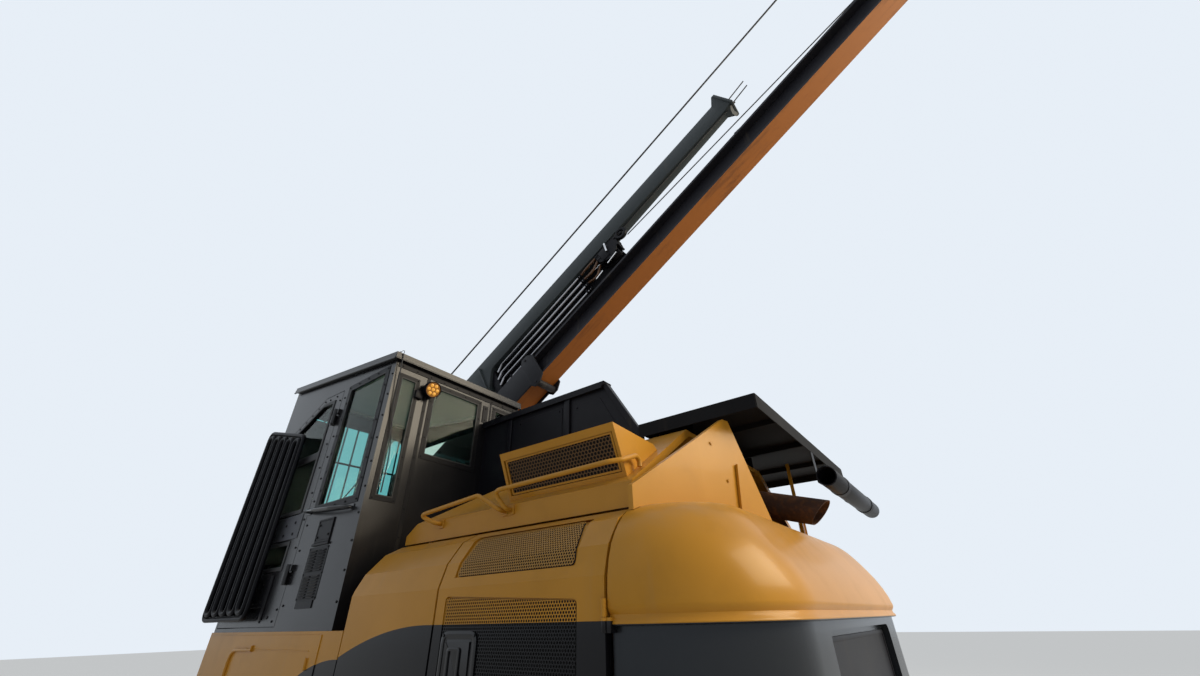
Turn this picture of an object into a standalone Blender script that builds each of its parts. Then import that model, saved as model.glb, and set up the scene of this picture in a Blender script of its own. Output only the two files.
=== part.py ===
"""Forestry excavator: a tracked carrier with a stroke boom for delimbing.

Metres, +Z up, front at -Y, the cab on the left at +X.
The origin is on the ground under the slew axis.
"""
import bpy
import bmesh
from math import atan2, cos, pi, radians, sin, tan
from mathutils import Matrix, Vector

GAP = 0.0003
RUN = 0.008

# Tracks: a loop of shoes round two tumblers on each side
TRACK_GAUGE = 2.64
SHOE_WIDTH = 0.60
SHOE_COUNT = 50
TUMBLER_SPAN = 3.86
TRACK_TIP_R = 0.48
GROUSER_HEIGHT = 0.035
GROUSER_FOOT = 0.034
GROUSER_TIP = 0.014
SHOE_THICK = 0.018
LINK_HEIGHT = 0.105
LINK_WIDTH = 0.22
FRAME_HALF = 0.17
FORK_HALF = 0.13
FRAME_BOTTOM = 0.27
FRAME_TOP = 0.62
BOTTOM_ROLLER_R = 0.09
TOP_ROLLER_R = 0.07
BOTTOM_ROLLERS = 8
TOP_ROLLER_Y = 0.62
SPROCKET_TEETH = 21

# Carbody and slewing ring
CARBODY_BOTTOM = 0.42
CARBODY_TOP = 0.98
CARBODY_HALF = 0.62
CARBODY_LEG_Y = 0.56
CARBODY_LEG_WIDTH = 0.36
RING_R = 0.64
RING_WALL = 0.14
RING_BORE = RING_R - RING_WALL

# Revolving deck and what stands on it
DECK_BOTTOM = 1.12
DECK_TOP = 1.30
SIDE_X = 1.50
DECK_FRONT = -1.90
HOUSE_REAR = 1.97

# Cab on its yellow step box
CAB_INNER_X = 0.17
CAB_REAR = -0.04
CAB_FRONT = -1.90
CAB_BOTTOM = 1.63
BASE_REAR = 0.095
CAB_TOP_REAR = 3.47
CAB_TOP_FRONT = 3.71
CAB_WALL = 0.045
ROOF_THICK = 0.05
ROOF_LIP = 0.025
GLASS = 0.006
REBATE = 0.018
DOOR_FRONT = -1.86
DOOR_REAR = -0.84
DOOR_BOTTOM = 1.66
DOOR_GAP = 0.006
DOOR_HINGE_X = 1.522

# House sides: upright to the crease, then leaning in to the hood
HOUSE_SEAM_Y = 0.93
# columns: half width, height of the side's skin above its upright
SHOULDER = [(SIDE_X, 1.80), (SIDE_X - 0.035, 1.915), (SIDE_X - 0.115, 2.025), (SIDE_X - 0.21, 2.075)]
PANEL = 0.045
GRILLE_DEEP = 0.012
GRILLE_LOW = 1.845
GRILLE_HIGH = 2.045
HOOD_EDGE_X = 1.27
HOOD_BOTTOM = 2.09
HOOD_EDGE_Z = 2.21
HOOD_PEAK_X = 0.62
HOOD_PEAK_Z = 2.64
HOOD_FRONT = 0.19
HOOD_WALL = 0.035
NOSE_Z = 2.145
NOSE_RISE = 0.66
BULKHEAD_Y = 0.42
SEAM = 0.007
ENGINE_HINGE_OUT = 0.012
ENGINE_HINGE_Z = (1.40, 1.66)

# Counterweight
WEIGHT_FRONT = 1.98
WEIGHT_REAR = 2.58
WEIGHT_CORNER = 0.595
WEIGHT_STEPS = 10
WEIGHT_BOTTOM = 1.10
WEIGHT_LIP = 1.65
WEIGHT_TOP = 2.10

# Exhaust
PIPE_R = 0.085
PIPE_WALL = 0.010

# Boom group, in its own frame: Y along the beam, Z square to it
BOOM_X = -0.25
PIVOT_Y = -0.60
PIVOT_Z = 3.05
BOOM_REST = radians(31.5)
BEAM_LOW = 0.49
BEAM_DEEP = 0.30
BEAM_WIDE = 0.25
FLANGE = 0.026
WEB = 0.060
BEAM_FRONT = -4.45
CRADLE_FRONT = -1.85
CRADLE_REAR = 1.00
CRADLE_HALF = 0.19
CHEEK = 0.05
PIN_R = 0.06
HOSE_BEAM_LOW = 1.28
HOSE_BEAM_DEEP = 0.24
HOSE_BEAM_HALF = 0.10
HOSE_BEAM_REAR = 4.57
END_FLARE = 0.12
HEAD_FRONT = -4.80
HEAD_TOP = BEAM_LOW + BEAM_DEEP + 0.072
HEAD_LOW = BEAM_LOW - 0.048
HEAD_ROUND = 0.06
HINGE_OUT = 0.27
KNIFE_HINGE_W = BEAM_LOW - 0.228
ARM_HINGE_W = BEAM_LOW - 0.178
KNIFE_R = 0.34
ARM_R = 0.34

# Tilt cylinders between the tower's cheeks
TILT_BASE_Y = -1.20
TILT_BASE_Z = 1.44
TILT_EYE_S = -1.36
TILT_EYE_W = -0.02
TILT_PAIR = 0.085
TILT_PIN_R = 0.030
BARREL_R = 0.070
ROD_R = 0.038

PAINT = {
    "yellow": ((0.80, 0.50, 0.10), 0.35, 0.0),
    "black": ((0.020, 0.020, 0.024), 0.30, 0.2),
    "cab_black": ((0.045, 0.047, 0.052), 0.25, 0.4),
    "steel": ((0.20, 0.19, 0.18), 0.55, 0.8),
    "grey": ((0.24, 0.27, 0.29), 0.45, 0.4),
    "rust": ((0.42, 0.20, 0.07), 0.70, 0.3),
    "chrome": ((0.80, 0.80, 0.80), 0.12, 1.0),
    "glass": ((0.35, 0.50, 0.52), 0.05, 0.0),
    "amber": ((0.95, 0.55, 0.10), 0.20, 0.0),
    "trim": ((0.06, 0.06, 0.06), 0.80, 0.0),
}


def clear_scene():
    for thing in list(bpy.data.objects):
        bpy.data.objects.remove(thing, do_unlink=True)


def make_collection(name):
    group = bpy.data.collections.new(name)
    bpy.context.scene.collection.children.link(group)
    return group


clear_scene()
PARTS = make_collection("forestry_excavator")
TOOLS = make_collection("cutters")


def material(paint, name):
    colour, rough, metal = PAINT[paint]
    made = bpy.data.materials.new(name + "_paint")
    made.use_nodes = True
    shader = made.node_tree.nodes["Principled BSDF"]
    shader.inputs["Base Color"].default_value = (*colour, 1.0)
    shader.inputs["Roughness"].default_value = rough
    shader.inputs["Metallic"].default_value = metal
    return made


def file_in(thing, group):
    for old in list(thing.users_collection):
        old.objects.unlink(thing)
    group.objects.link(thing)


def finish(thing, name, paint):
    """Name a piece, paint it and keep it with the parts."""
    thing.name = name
    thing.data.name = name
    thing.data.materials.clear()
    thing.data.materials.append(material(paint, name))
    file_in(thing, PARTS)
    return thing


def box(low, high):
    """A block between two corners."""
    bpy.ops.mesh.primitive_cube_add(size=1.0)
    made = bpy.context.object
    size = Vector(high) - Vector(low)
    made.data.transform(Matrix.Diagonal((*size, 1.0)))
    made.data.transform(Matrix.Translation((Vector(low) + Vector(high)) / 2))
    return made


def bar(start, end, radius, sides=16):
    """A round bar from one point to another."""
    start, end = Vector(start), Vector(end)
    run = end - start
    bpy.ops.mesh.primitive_cylinder_add(vertices=sides, radius=radius, depth=run.length)
    made = bpy.context.object
    turn = run.to_track_quat("Z", "Y").to_matrix().to_4x4()
    made.data.transform(Matrix.Translation((start + end) / 2) @ turn)
    made.data.shade_smooth()
    made.data.set_sharp_from_angle(angle=radians(40))
    return made


def weld(made):
    mesh = bmesh.new()
    mesh.from_mesh(made.data)
    bmesh.ops.remove_doubles(mesh, verts=mesh.verts, dist=0.00002)
    mesh.to_mesh(made.data)
    mesh.free()


def one_face_ends(made):
    """Each flat end of an outline becomes one face, with no slivers for a cut to meet."""
    mesh = bmesh.new()
    mesh.from_mesh(made.data)
    flat = [e for e in mesh.edges if len(e.link_faces) == 2 and e.calc_face_angle() < 0.0001]
    bmesh.ops.dissolve_edges(mesh, edges=flat, use_verts=False)
    mesh.to_mesh(made.data)
    mesh.free()


def solid_from_curve(thing):
    """Turn a curve into a welded mesh that can be cut and joined."""
    bpy.context.view_layer.update()
    graph = bpy.context.evaluated_depsgraph_get()
    mesh = bpy.data.meshes.new_from_object(thing.evaluated_get(graph))
    made = bpy.data.objects.new("solid", mesh)
    made.matrix_world = thing.matrix_world
    TOOLS.objects.link(made)
    bpy.data.objects.remove(thing, do_unlink=True)
    made.data.transform(made.matrix_world)
    made.matrix_world = Matrix.Identity(4)
    weld(made)
    return made


TURN = {
    "X": Matrix(((0, 0, 1, 0), (1, 0, 0, 0), (0, 1, 0, 0), (0, 0, 0, 1))),
    "Y": Matrix(((1, 0, 0, 0), (0, 0, -1, 0), (0, 1, 0, 0), (0, 0, 0, 1))),
    "Z": Matrix.Identity(4),
}


def plate(outline, axis, low, high):
    """A flat outline given thickness along an axis: (y, z), (x, z) or (x, y) points."""
    curve = bpy.data.curves.new("outline", "CURVE")
    curve.dimensions = "2D"
    curve.fill_mode = "BOTH"
    curve.extrude = (high - low) / 2
    spline = curve.splines.new("POLY")
    spline.points.add(len(outline) - 1)
    for point, place in zip(spline.points, outline):
        point.co = (place[0], place[1], 0.0, 1.0)
    spline.use_cyclic_u = True
    made = bpy.data.objects.new("outline", curve)
    TOOLS.objects.link(made)
    middle = (low + high) / 2
    shift = {"X": (middle, 0, 0), "Y": (0, middle, 0), "Z": (0, 0, middle)}[axis]
    made.matrix_world = Matrix.Translation(shift) @ TURN[axis]
    made = solid_from_curve(made)
    one_face_ends(made)
    return made


def pipe(points, radius, sides=2):
    """A bent tube along points, with its ends filled."""
    curve = bpy.data.curves.new("route", "CURVE")
    curve.dimensions = "3D"
    curve.bevel_depth = radius
    curve.bevel_resolution = sides
    curve.use_fill_caps = True
    spline = curve.splines.new("POLY")
    spline.points.add(len(points) - 1)
    for point, place in zip(spline.points, points):
        point.co = (*place, 1.0)
    made = bpy.data.objects.new("route", curve)
    TOOLS.objects.link(made)
    made = solid_from_curve(made)
    made.data.shade_smooth()
    made.data.set_sharp_from_angle(angle=radians(50))
    return made


def boolean(thing, operation, others, solver="EXACT"):
    for other in others:
        file_in(other, TOOLS)
        other.hide_render = True
        other.display_type = "WIRE"
        change = thing.modifiers.new(operation.title(), "BOOLEAN")
        change.operation = operation
        change.solver = solver
        change.object = other
    return thing


def cut(thing, *others):
    return boolean(thing, "DIFFERENCE", others)


def fuse(thing, *others):
    return boolean(thing, "UNION", others)


def mirrored(outline):
    """The same outline on the other side, kept in its own turning sense."""
    return [(-a, b) for a, b in reversed(outline)]


def rounded(corners, radius, steps=3):
    """A closed outline with each corner replaced by an arc."""
    made = []
    count = len(corners)
    for i, corner in enumerate(corners):
        here = Vector(corner[:2])
        size = corner[2] if len(corner) > 2 else radius
        before = (Vector(corners[i - 1][:2]) - here).normalized()
        after = (Vector(corners[(i + 1) % count][:2]) - here).normalized()
        if size <= 0:
            made.append(tuple(here))
            continue
        half = before.angle(after) / 2
        back = size / tan(half)
        centre = here + (before + after).normalized() * (size / sin(half))
        start = here + before * back - centre
        end = here + after * back - centre
        sweep = start.angle_signed(end)
        for k in range(steps + 1):
            turn = Matrix.Rotation(-sweep * k / steps, 2)
            made.append(tuple(centre + turn @ start))
    return made


def rectangle(low, high, radius=0.0, steps=3):
    corners = [(low[0], low[1]), (high[0], low[1]), (high[0], high[1]), (low[0], high[1])]
    return rounded(corners, radius, steps) if radius else corners


def empty(name, place, turn=0.0):
    """A joint's axis: what moves about it is parented here."""
    made = bpy.data.objects.new(name, None)
    made.location = place
    made.rotation_euler = (turn, 0.0, 0.0)
    PARTS.objects.link(made)
    return made


def tilt_with(axis, *things):
    """Parent pieces modelled level round the pivot, with what cuts or joins them, to the tilted axis."""
    for thing in things:
        thing.parent = axis
        tilt_with(axis, *[change.object for change in thing.modifiers if change.type == "BOOLEAN"])


def hang_on(axis, *things):
    """Parent pieces, modelled in world places, to an unturned axis."""
    for thing in things:
        thing.parent = axis
        thing.matrix_parent_inverse = Matrix.Translation(-axis.location)


# Undercarriage

SHOE_R = TRACK_TIP_R - GROUSER_HEIGHT
RAIL_R = SHOE_R - SHOE_THICK - LINK_HEIGHT
AXLE_Z = TRACK_TIP_R
RAIL_LOW = AXLE_Z - RAIL_R
RAIL_HIGH = AXLE_Z + RAIL_R


def loop_point(run, radius):
    """Where a point at this radius lies after a run of the loop's pitch line, and its outward way."""
    straight = TUMBLER_SPAN
    arc = pi * SHOE_R
    total = 2 * (straight + arc)
    run = run % total
    half = TUMBLER_SPAN / 2
    if run < straight:
        return Vector((-half + run, AXLE_Z - radius)), Vector((0, -1))
    run -= straight
    if run < arc:
        angle = -pi / 2 + run / SHOE_R
        way = Vector((cos(angle), sin(angle)))
        return Vector((half, AXLE_Z)) + way * radius, way
    run -= arc
    if run < straight:
        return Vector((half - run, AXLE_Z + radius)), Vector((0, 1))
    run -= straight
    angle = pi / 2 + run / SHOE_R
    way = Vector((cos(angle), sin(angle)))
    return Vector((-half, AXLE_Z)) + way * radius, way


def track_outline():
    """Shoes as chords between their joints, each with one grouser."""
    total = 2 * (TUMBLER_SPAN + pi * SHOE_R)
    pitch = total / SHOE_COUNT
    made = []
    for i in range(SHOE_COUNT):
        start, _ = loop_point((i - 0.5) * pitch, SHOE_R)
        end, _ = loop_point((i + 0.5) * pitch, SHOE_R)
        along = (end - start).normalized()
        out = Vector((along.y, -along.x))
        # columns: place along the shoe, height above its plate
        foot = start + along * (0.30 * (end - start).length)
        for shift, height in (
            (-GROUSER_FOOT / 2, 0.0),
            (-GROUSER_TIP / 2, GROUSER_HEIGHT),
            (GROUSER_TIP / 2, GROUSER_HEIGHT),
            (GROUSER_FOOT / 2, 0.0),
        ):
            made.append(tuple(foot + along * shift + out * height))
        if i < SHOE_COUNT:
            made.append(tuple(end))
    return made


def ring_outline(radius, count):
    """The loop at one radius, with its round ends split evenly."""
    half = TUMBLER_SPAN / 2
    made = []
    for k in range(count + 1):
        angle = -pi / 2 + pi * k / count
        made.append((half + radius * cos(angle), AXLE_Z + radius * sin(angle)))
    for k in range(count + 1):
        angle = pi / 2 + pi * k / count
        made.append((-half + radius * cos(angle), AXLE_Z + radius * sin(angle)))
    return made


def make_track(side, name):
    middle = side * TRACK_GAUGE / 2
    low, high = middle - SHOE_WIDTH / 2, middle + SHOE_WIDTH / 2
    shoes = plate(track_outline(), "X", low, high)
    bore = plate(ring_outline(SHOE_R - SHOE_THICK, 10), "X", low - 0.1, high + 0.1)
    boolean(shoes, "DIFFERENCE", [bore], "MANIFOLD")
    link_low, link_high = middle - LINK_WIDTH / 2, middle + LINK_WIDTH / 2
    links = plate(ring_outline(SHOE_R - SHOE_THICK + 0.004, 10), "X", link_low, link_high)
    inside = plate(ring_outline(RAIL_R / cos(pi / 20) + GAP, 10), "X", link_low - 0.1, link_high + 0.1)
    cut(links, inside)
    boolean(shoes, "UNION", [links], "MANIFOLD")
    return finish(shoes, name, "steel")


def make_track_frame(side, name):
    """Side beam with its bottom and carrier rollers."""
    middle = side * TRACK_GAUGE / 2
    half = TUMBLER_SPAN / 2
    low, high = middle - FRAME_HALF, middle + FRAME_HALF
    outline = [
        (-half - 0.10, 0.40), (-half + 0.45, FRAME_BOTTOM), (half - 0.45, FRAME_BOTTOM),
        (half + 0.10, 0.36), (half + 0.10, 0.60), (half - 0.40, FRAME_TOP),
        (-half + 0.40, FRAME_TOP), (-half - 0.10, 0.56),
    ]
    made = plate(outline, "X", low, high)
    wheel = RAIL_R + 0.06
    front_slot = box((middle - FORK_HALF, -half - wheel, 0), (middle + FORK_HALF, -half + wheel, 1))
    inner = middle - side * FORK_HALF
    outer = middle + side * (FRAME_HALF + 0.1)
    rear_slot = box(
        (min(inner, outer), half - wheel, 0), (max(inner, outer), half + wheel, 1)
    )
    cut(made, front_slot, rear_slot)
    spread = TUMBLER_SPAN - 2 * wheel - 2 * BOTTOM_ROLLER_R - 0.10
    for k in range(BOTTOM_ROLLERS):
        y = -spread / 2 + spread * k / (BOTTOM_ROLLERS - 1)
        z = RAIL_LOW + BOTTOM_ROLLER_R + GAP
        roller = bar((middle - 0.14, y, z), (middle + 0.14, y, z), BOTTOM_ROLLER_R, 12)
        fuse(made, roller)
    for y in (-TOP_ROLLER_Y, TOP_ROLLER_Y):
        z = RAIL_HIGH - TOP_ROLLER_R - GAP
        roller = bar((middle - 0.12, y, z), (middle + 0.12, y, z), TOP_ROLLER_R, 12)
        stand = box((middle - 0.04, y - 0.05, FRAME_TOP - 0.02), (middle + 0.04, y + 0.05, z))
        fuse(made, roller, stand)
    return finish(made, name, "black")


def wheel_from(profile, place, name, steps=24):
    """A wheel turned about X from half-profile points (radius, x), its ends closed on the axis."""
    mesh = bmesh.new()
    points = [mesh.verts.new((x, 0.0, r)) for r, x in reversed(profile)]
    for a, b in zip(points, points[1:]):
        mesh.edges.new((a, b))
    data = bpy.data.meshes.new(name)
    mesh.to_mesh(data)
    mesh.free()
    made = bpy.data.objects.new(name, data)
    PARTS.objects.link(made)
    screw = made.modifiers.new("Turn", "SCREW")
    screw.axis = "X"
    screw.steps = steps
    screw.render_steps = steps
    screw.use_merge_vertices = True
    screw.merge_threshold = 0.0001
    made.location = place
    return made


def make_sprocket(side, name):
    """Toothed rim inside the chain, with the final drive's drum outboard."""
    middle = side * TRACK_GAUGE / 2
    half = TUMBLER_SPAN / 2
    tip = RAIL_R - 0.004
    points = []
    for k in range(SPROCKET_TEETH):
        for share, radius in ((0.15, tip), (0.35, tip), (0.60, tip - 0.05), (0.90, tip - 0.05)):
            angle = 2 * pi * (k + share) / SPROCKET_TEETH
            points.append((half + radius * cos(angle), AXLE_Z + radius * sin(angle)))
    made = plate(points, "X", middle - 0.035, middle + 0.035)
    inner = middle - side * (FORK_HALF - GAP)
    outer = middle + side * 0.26
    hub = bar((inner, half, AXLE_Z), (middle + side * 0.12, half, AXLE_Z), 0.21, 24)
    drum = bar((middle, half, AXLE_Z), (outer, half, AXLE_Z), 0.17, 24)
    fuse(made, hub, drum)
    return finish(made, name, "steel")


def make_undercarriage():
    for side, word in ((1, "left"), (-1, "right")):
        make_track(side, "track_" + word)
        make_track_frame(side, "track_frame_" + word)
        make_sprocket(side, "sprocket_" + word)
        middle = side * TRACK_GAUGE / 2
        rim = RAIL_R - GAP
        hub = FORK_HALF - GAP
        profile = [
            (0.0, -hub), (0.09, -hub), (0.09, -0.05), (rim - 0.08, -0.03), (rim - 0.07, -0.10),
            (rim, -0.10), (rim, 0.10), (rim - 0.07, 0.10), (rim - 0.08, 0.03), (0.09, 0.05),
            (0.09, hub), (0.0, hub),
        ]
        name = "idler_" + word
        idler = wheel_from(profile, (middle, -TUMBLER_SPAN / 2, AXLE_Z), name)
        finish(idler, name, "steel")

    reach = TRACK_GAUGE / 2 - FRAME_HALF - GAP
    half = CARBODY_HALF
    body = box((-half, -half, CARBODY_BOTTOM), (half, half, CARBODY_TOP - 0.08))
    leg = [
        (-reach, CARBODY_BOTTOM), (reach, CARBODY_BOTTOM), (reach, 0.60), (half - 0.02, 0.84),
        (-half + 0.02, 0.84), (-reach, 0.60),
    ]
    for y in (-CARBODY_LEG_Y, CARBODY_LEG_Y):
        fuse(body, plate(leg, "Y", y - CARBODY_LEG_WIDTH / 2, y + CARBODY_LEG_WIDTH / 2))
    fuse(body, bar((0, 0, 0.80), (0, 0, CARBODY_TOP), RING_R + 0.02, 32))
    finish(body, "carbody", "black")

    ring = bar((0, 0, CARBODY_TOP + GAP), (0, 0, DECK_BOTTOM - GAP), RING_R, 32)
    cut(ring, bar((0, 0, 0.5), (0, 0, 1.5), RING_BORE, 32))
    finish(ring, "slew_ring", "steel")


# Revolving deck, cab base, tower and tank

def make_deck():
    deck_rear = WEIGHT_FRONT - GAP
    outline = [
        (SIDE_X - 0.03, DECK_FRONT), (SIDE_X - 0.03, deck_rear), (-SIDE_X + 0.03, deck_rear),
        (-SIDE_X + 0.03, DECK_FRONT), (-0.62, DECK_FRONT), (-0.62, -1.45), (0.12, -1.45),
        (0.12, DECK_FRONT),
    ]
    deck = plate(outline, "Z", DECK_BOTTOM, DECK_TOP)
    cut(deck, bar((0, 0, 1.0), (0, 0, 1.5), RING_BORE - 0.05, 32))
    finish(deck, "deck", "black")

    low = (CAB_INNER_X, CAB_FRONT - 0.04, DECK_TOP + GAP)
    high = (SIDE_X, CAB_REAR, CAB_BOTTOM - GAP)
    plan = [
        (low[0], low[1]), (high[0], low[1]), (high[0], BASE_REAR), (high[0] - 0.22, BASE_REAR),
        (high[0] - 0.22, high[1]), (low[0], high[1]),
    ]
    base = plate(plan, "Z", low[2], high[2])
    finish(base, "cab_base", "yellow")

    tank = box((-SIDE_X + 0.02, DECK_FRONT, DECK_TOP + GAP), (-0.66, CAB_REAR - 0.01, 2.16))
    edge = tank.modifiers.new("Edge", "BEVEL")
    edge.width = 0.05
    edge.segments = 2
    edge.limit_method = "ANGLE"
    cap = bar((-1.2, -1.5, 2.10), (-1.2, -1.5, 2.22), 0.06, 16)
    fuse(tank, cap)
    finish(tank, "tank", "yellow")


def make_tower():
    """Two cheeks that carry the boom's pivot, tied together low down."""
    foot = DECK_TOP + GAP
    cheek = rounded([
        (0.35, foot, 0), (0.35, 1.75, 0), (PIVOT_Y + 0.17, PIVOT_Z + 0.14, 0.12),
        (PIVOT_Y - 0.17, PIVOT_Z + 0.14, 0.12), (-1.02, 2.2, 0.1), (-1.40, 1.75, 0.1), (-1.40, foot, 0),
    ], 0.1)
    inner = CRADLE_HALF + RUN
    made = plate(cheek, "X", BOOM_X + inner, BOOM_X + inner + CHEEK)
    other = plate(cheek, "X", BOOM_X - inner - CHEEK, BOOM_X - inner)
    tie = box(
        (BOOM_X - inner - 0.01, -0.70, foot), (BOOM_X + inner + 0.01, 0.25, 1.75)
    )
    pin_side = BOOM_X + inner + 0.01
    base_pin = bar(
        (2 * BOOM_X - pin_side, TILT_BASE_Y, TILT_BASE_Z), (pin_side, TILT_BASE_Y, TILT_BASE_Z), TILT_PIN_R, 16
    )
    fuse(made, other, tie, base_pin)
    hole = bar((BOOM_X - 0.5, PIVOT_Y, PIVOT_Z), (BOOM_X + 0.5, PIVOT_Y, PIVOT_Z), PIN_R / cos(pi / 24) + GAP, 24)
    cut(made, hole)
    finish(made, "boom_tower", "black")


# Cab

def cab_top(y, lift=0.0):
    share = (y - CAB_REAR) / (CAB_FRONT - CAB_REAR)
    return CAB_TOP_REAR + share * (CAB_TOP_FRONT - CAB_TOP_REAR) + lift


# columns: name, wall, low and high corner in the wall's plane, corner radius
CAB_PANES = [
    ("cab_glass_left", "left", (-0.70, 2.42), (-0.16, 3.40), 0.03),
    ("cab_glass_rear_narrow", "rear", (1.30, 2.42), (1.43, 3.33), 0.015),
    ("cab_glass_rear", "rear", (0.66, 2.78), (1.12, 3.35), 0.03),
    ("cab_glass_rear_inner", "rear", (0.26, 2.62), (0.46, 3.35), 0.02),
    ("cab_windshield", "front", (0.27, 2.20), (1.40, 3.50), 0.06),
    ("cab_glass_right", "right", (-1.70, 2.70), (-0.20, 3.38), 0.06),
]


def wall_frame(wall):
    """The wall's plate axis, outer face and inward way."""
    return {
        "left": ("X", SIDE_X, -1),
        "right": ("X", CAB_INNER_X, 1),
        "rear": ("Y", CAB_REAR, -1),
        "front": ("Y", CAB_FRONT, 1),
    }[wall]


def pane_cutters(wall, low, high, radius):
    axis, face, inward = wall_frame(wall)
    through = sorted((face - inward * 0.05, face + inward * (CAB_WALL + 0.02)))
    step = sorted((face + inward * 0.012, face + inward * (CAB_WALL + 0.02)))
    wide_low = (low[0] - REBATE, low[1] - REBATE)
    wide_high = (high[0] + REBATE, high[1] + REBATE)
    opening = plate(rectangle(low, high, radius), axis, *through)
    seat = plate(rectangle(wide_low, wide_high, radius), axis, *step)
    return opening, seat


def make_pane(name, wall, low, high, radius):
    axis, face, inward = wall_frame(wall)
    margin = REBATE - GAP
    near = face + inward * (0.012 + GAP)
    far = near + inward * GLASS
    wide_low = (low[0] - margin, low[1] - margin)
    wide_high = (high[0] + margin, high[1] + margin)
    pane = plate(rectangle(wide_low, wide_high, radius), axis, *sorted((near, far)))
    finish(pane, name, "glass")


DOOR_OUTLINE = [
    (DOOR_FRONT, DOOR_BOTTOM), (DOOR_REAR, DOOR_BOTTOM), (DOOR_REAR, 3.42), (-1.15, 3.43),
    (-1.66, 3.20), (DOOR_FRONT, 2.85),
]


def grown(outline, margin):
    """A convex outline moved outwards by a margin, counter-clockwise points."""
    made = []
    count = len(outline)
    for i in range(count):
        here = Vector(outline[i])
        back = (here - Vector(outline[i - 1])).normalized()
        ahead = (Vector(outline[(i + 1) % count]) - here).normalized()
        out_back = Vector((back.y, -back.x))
        out_ahead = Vector((ahead.y, -ahead.x))
        corner = (out_back + out_ahead).normalized()
        made.append(tuple(here + corner * (margin / corner.dot(out_back))))
    return made


def make_cab():
    shell_side = [
        (CAB_FRONT, CAB_BOTTOM), (CAB_REAR, CAB_BOTTOM), (CAB_REAR, CAB_TOP_REAR),
        (CAB_FRONT, CAB_TOP_FRONT),
    ]
    shell = plate(shell_side, "X", CAB_INNER_X, SIDE_X)
    low = CAB_BOTTOM + 0.05
    room = [
        (CAB_FRONT + CAB_WALL, low), (CAB_REAR - CAB_WALL, low), (CAB_REAR - CAB_WALL, 3.9),
        (CAB_FRONT + CAB_WALL, 3.9),
    ]
    cut(shell, plate(room, "X", CAB_INNER_X + CAB_WALL, SIDE_X - CAB_WALL))
    doorway = grown(DOOR_OUTLINE, DOOR_GAP)
    cut(shell, plate(doorway, "X", SIDE_X - CAB_WALL - 0.01, SIDE_X + 0.05))
    for name, wall, corner_low, corner_high, radius in CAB_PANES:
        cut(shell, *pane_cutters(wall, corner_low, corner_high, radius))
        make_pane(name, wall, corner_low, corner_high, radius)
    for z in (1.95, 3.15):
        lug = box((SIDE_X - 0.02, DOOR_REAR + 0.008, z + 0.046), (DOOR_HINGE_X, DOOR_REAR + 0.05, z + 0.084))
        knuckle = bar((DOOR_HINGE_X, DOOR_REAR, z + 0.0403), (DOOR_HINGE_X, DOOR_REAR, z + 0.09), 0.016, 12)
        fuse(shell, lug, knuckle)
    finish(shell, "cab_shell", "cab_black")

    lip = ROOF_LIP
    roof_side = [
        (CAB_FRONT - lip, cab_top(CAB_FRONT - lip, GAP)), (CAB_REAR + lip, cab_top(CAB_REAR + lip, GAP)),
        (CAB_REAR + lip, cab_top(CAB_REAR + lip, ROOF_THICK)),
        (CAB_FRONT - lip, cab_top(CAB_FRONT - lip, ROOF_THICK)),
    ]
    roof = plate(roof_side, "X", CAB_INNER_X - 0.01, SIDE_X + lip)
    finish(roof, "cab_roof", "cab_black")

    seat = box((0.62, -1.15, CAB_BOTTOM + 0.05 + GAP), (1.02, -0.70, 1.95))
    cushion = box((0.56, -1.28, 1.93), (1.08, -0.68, 2.10))
    back = plate([(-0.74, 2.02), (-0.60, 2.02), (-0.48, 2.78), (-0.60, 2.80)], "X", 0.58, 1.06)
    rest_left = box((1.10, -1.25, 2.16), (1.20, -0.75, 2.26))
    rest_right = box((0.44, -1.25, 2.16), (0.54, -0.75, 2.26))
    carrier = box((0.46, -0.95, 2.00), (1.18, -0.80, 2.18))
    fuse(seat, cushion, back, carrier, rest_left, rest_right)
    finish(seat, "seat", "trim")


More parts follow.
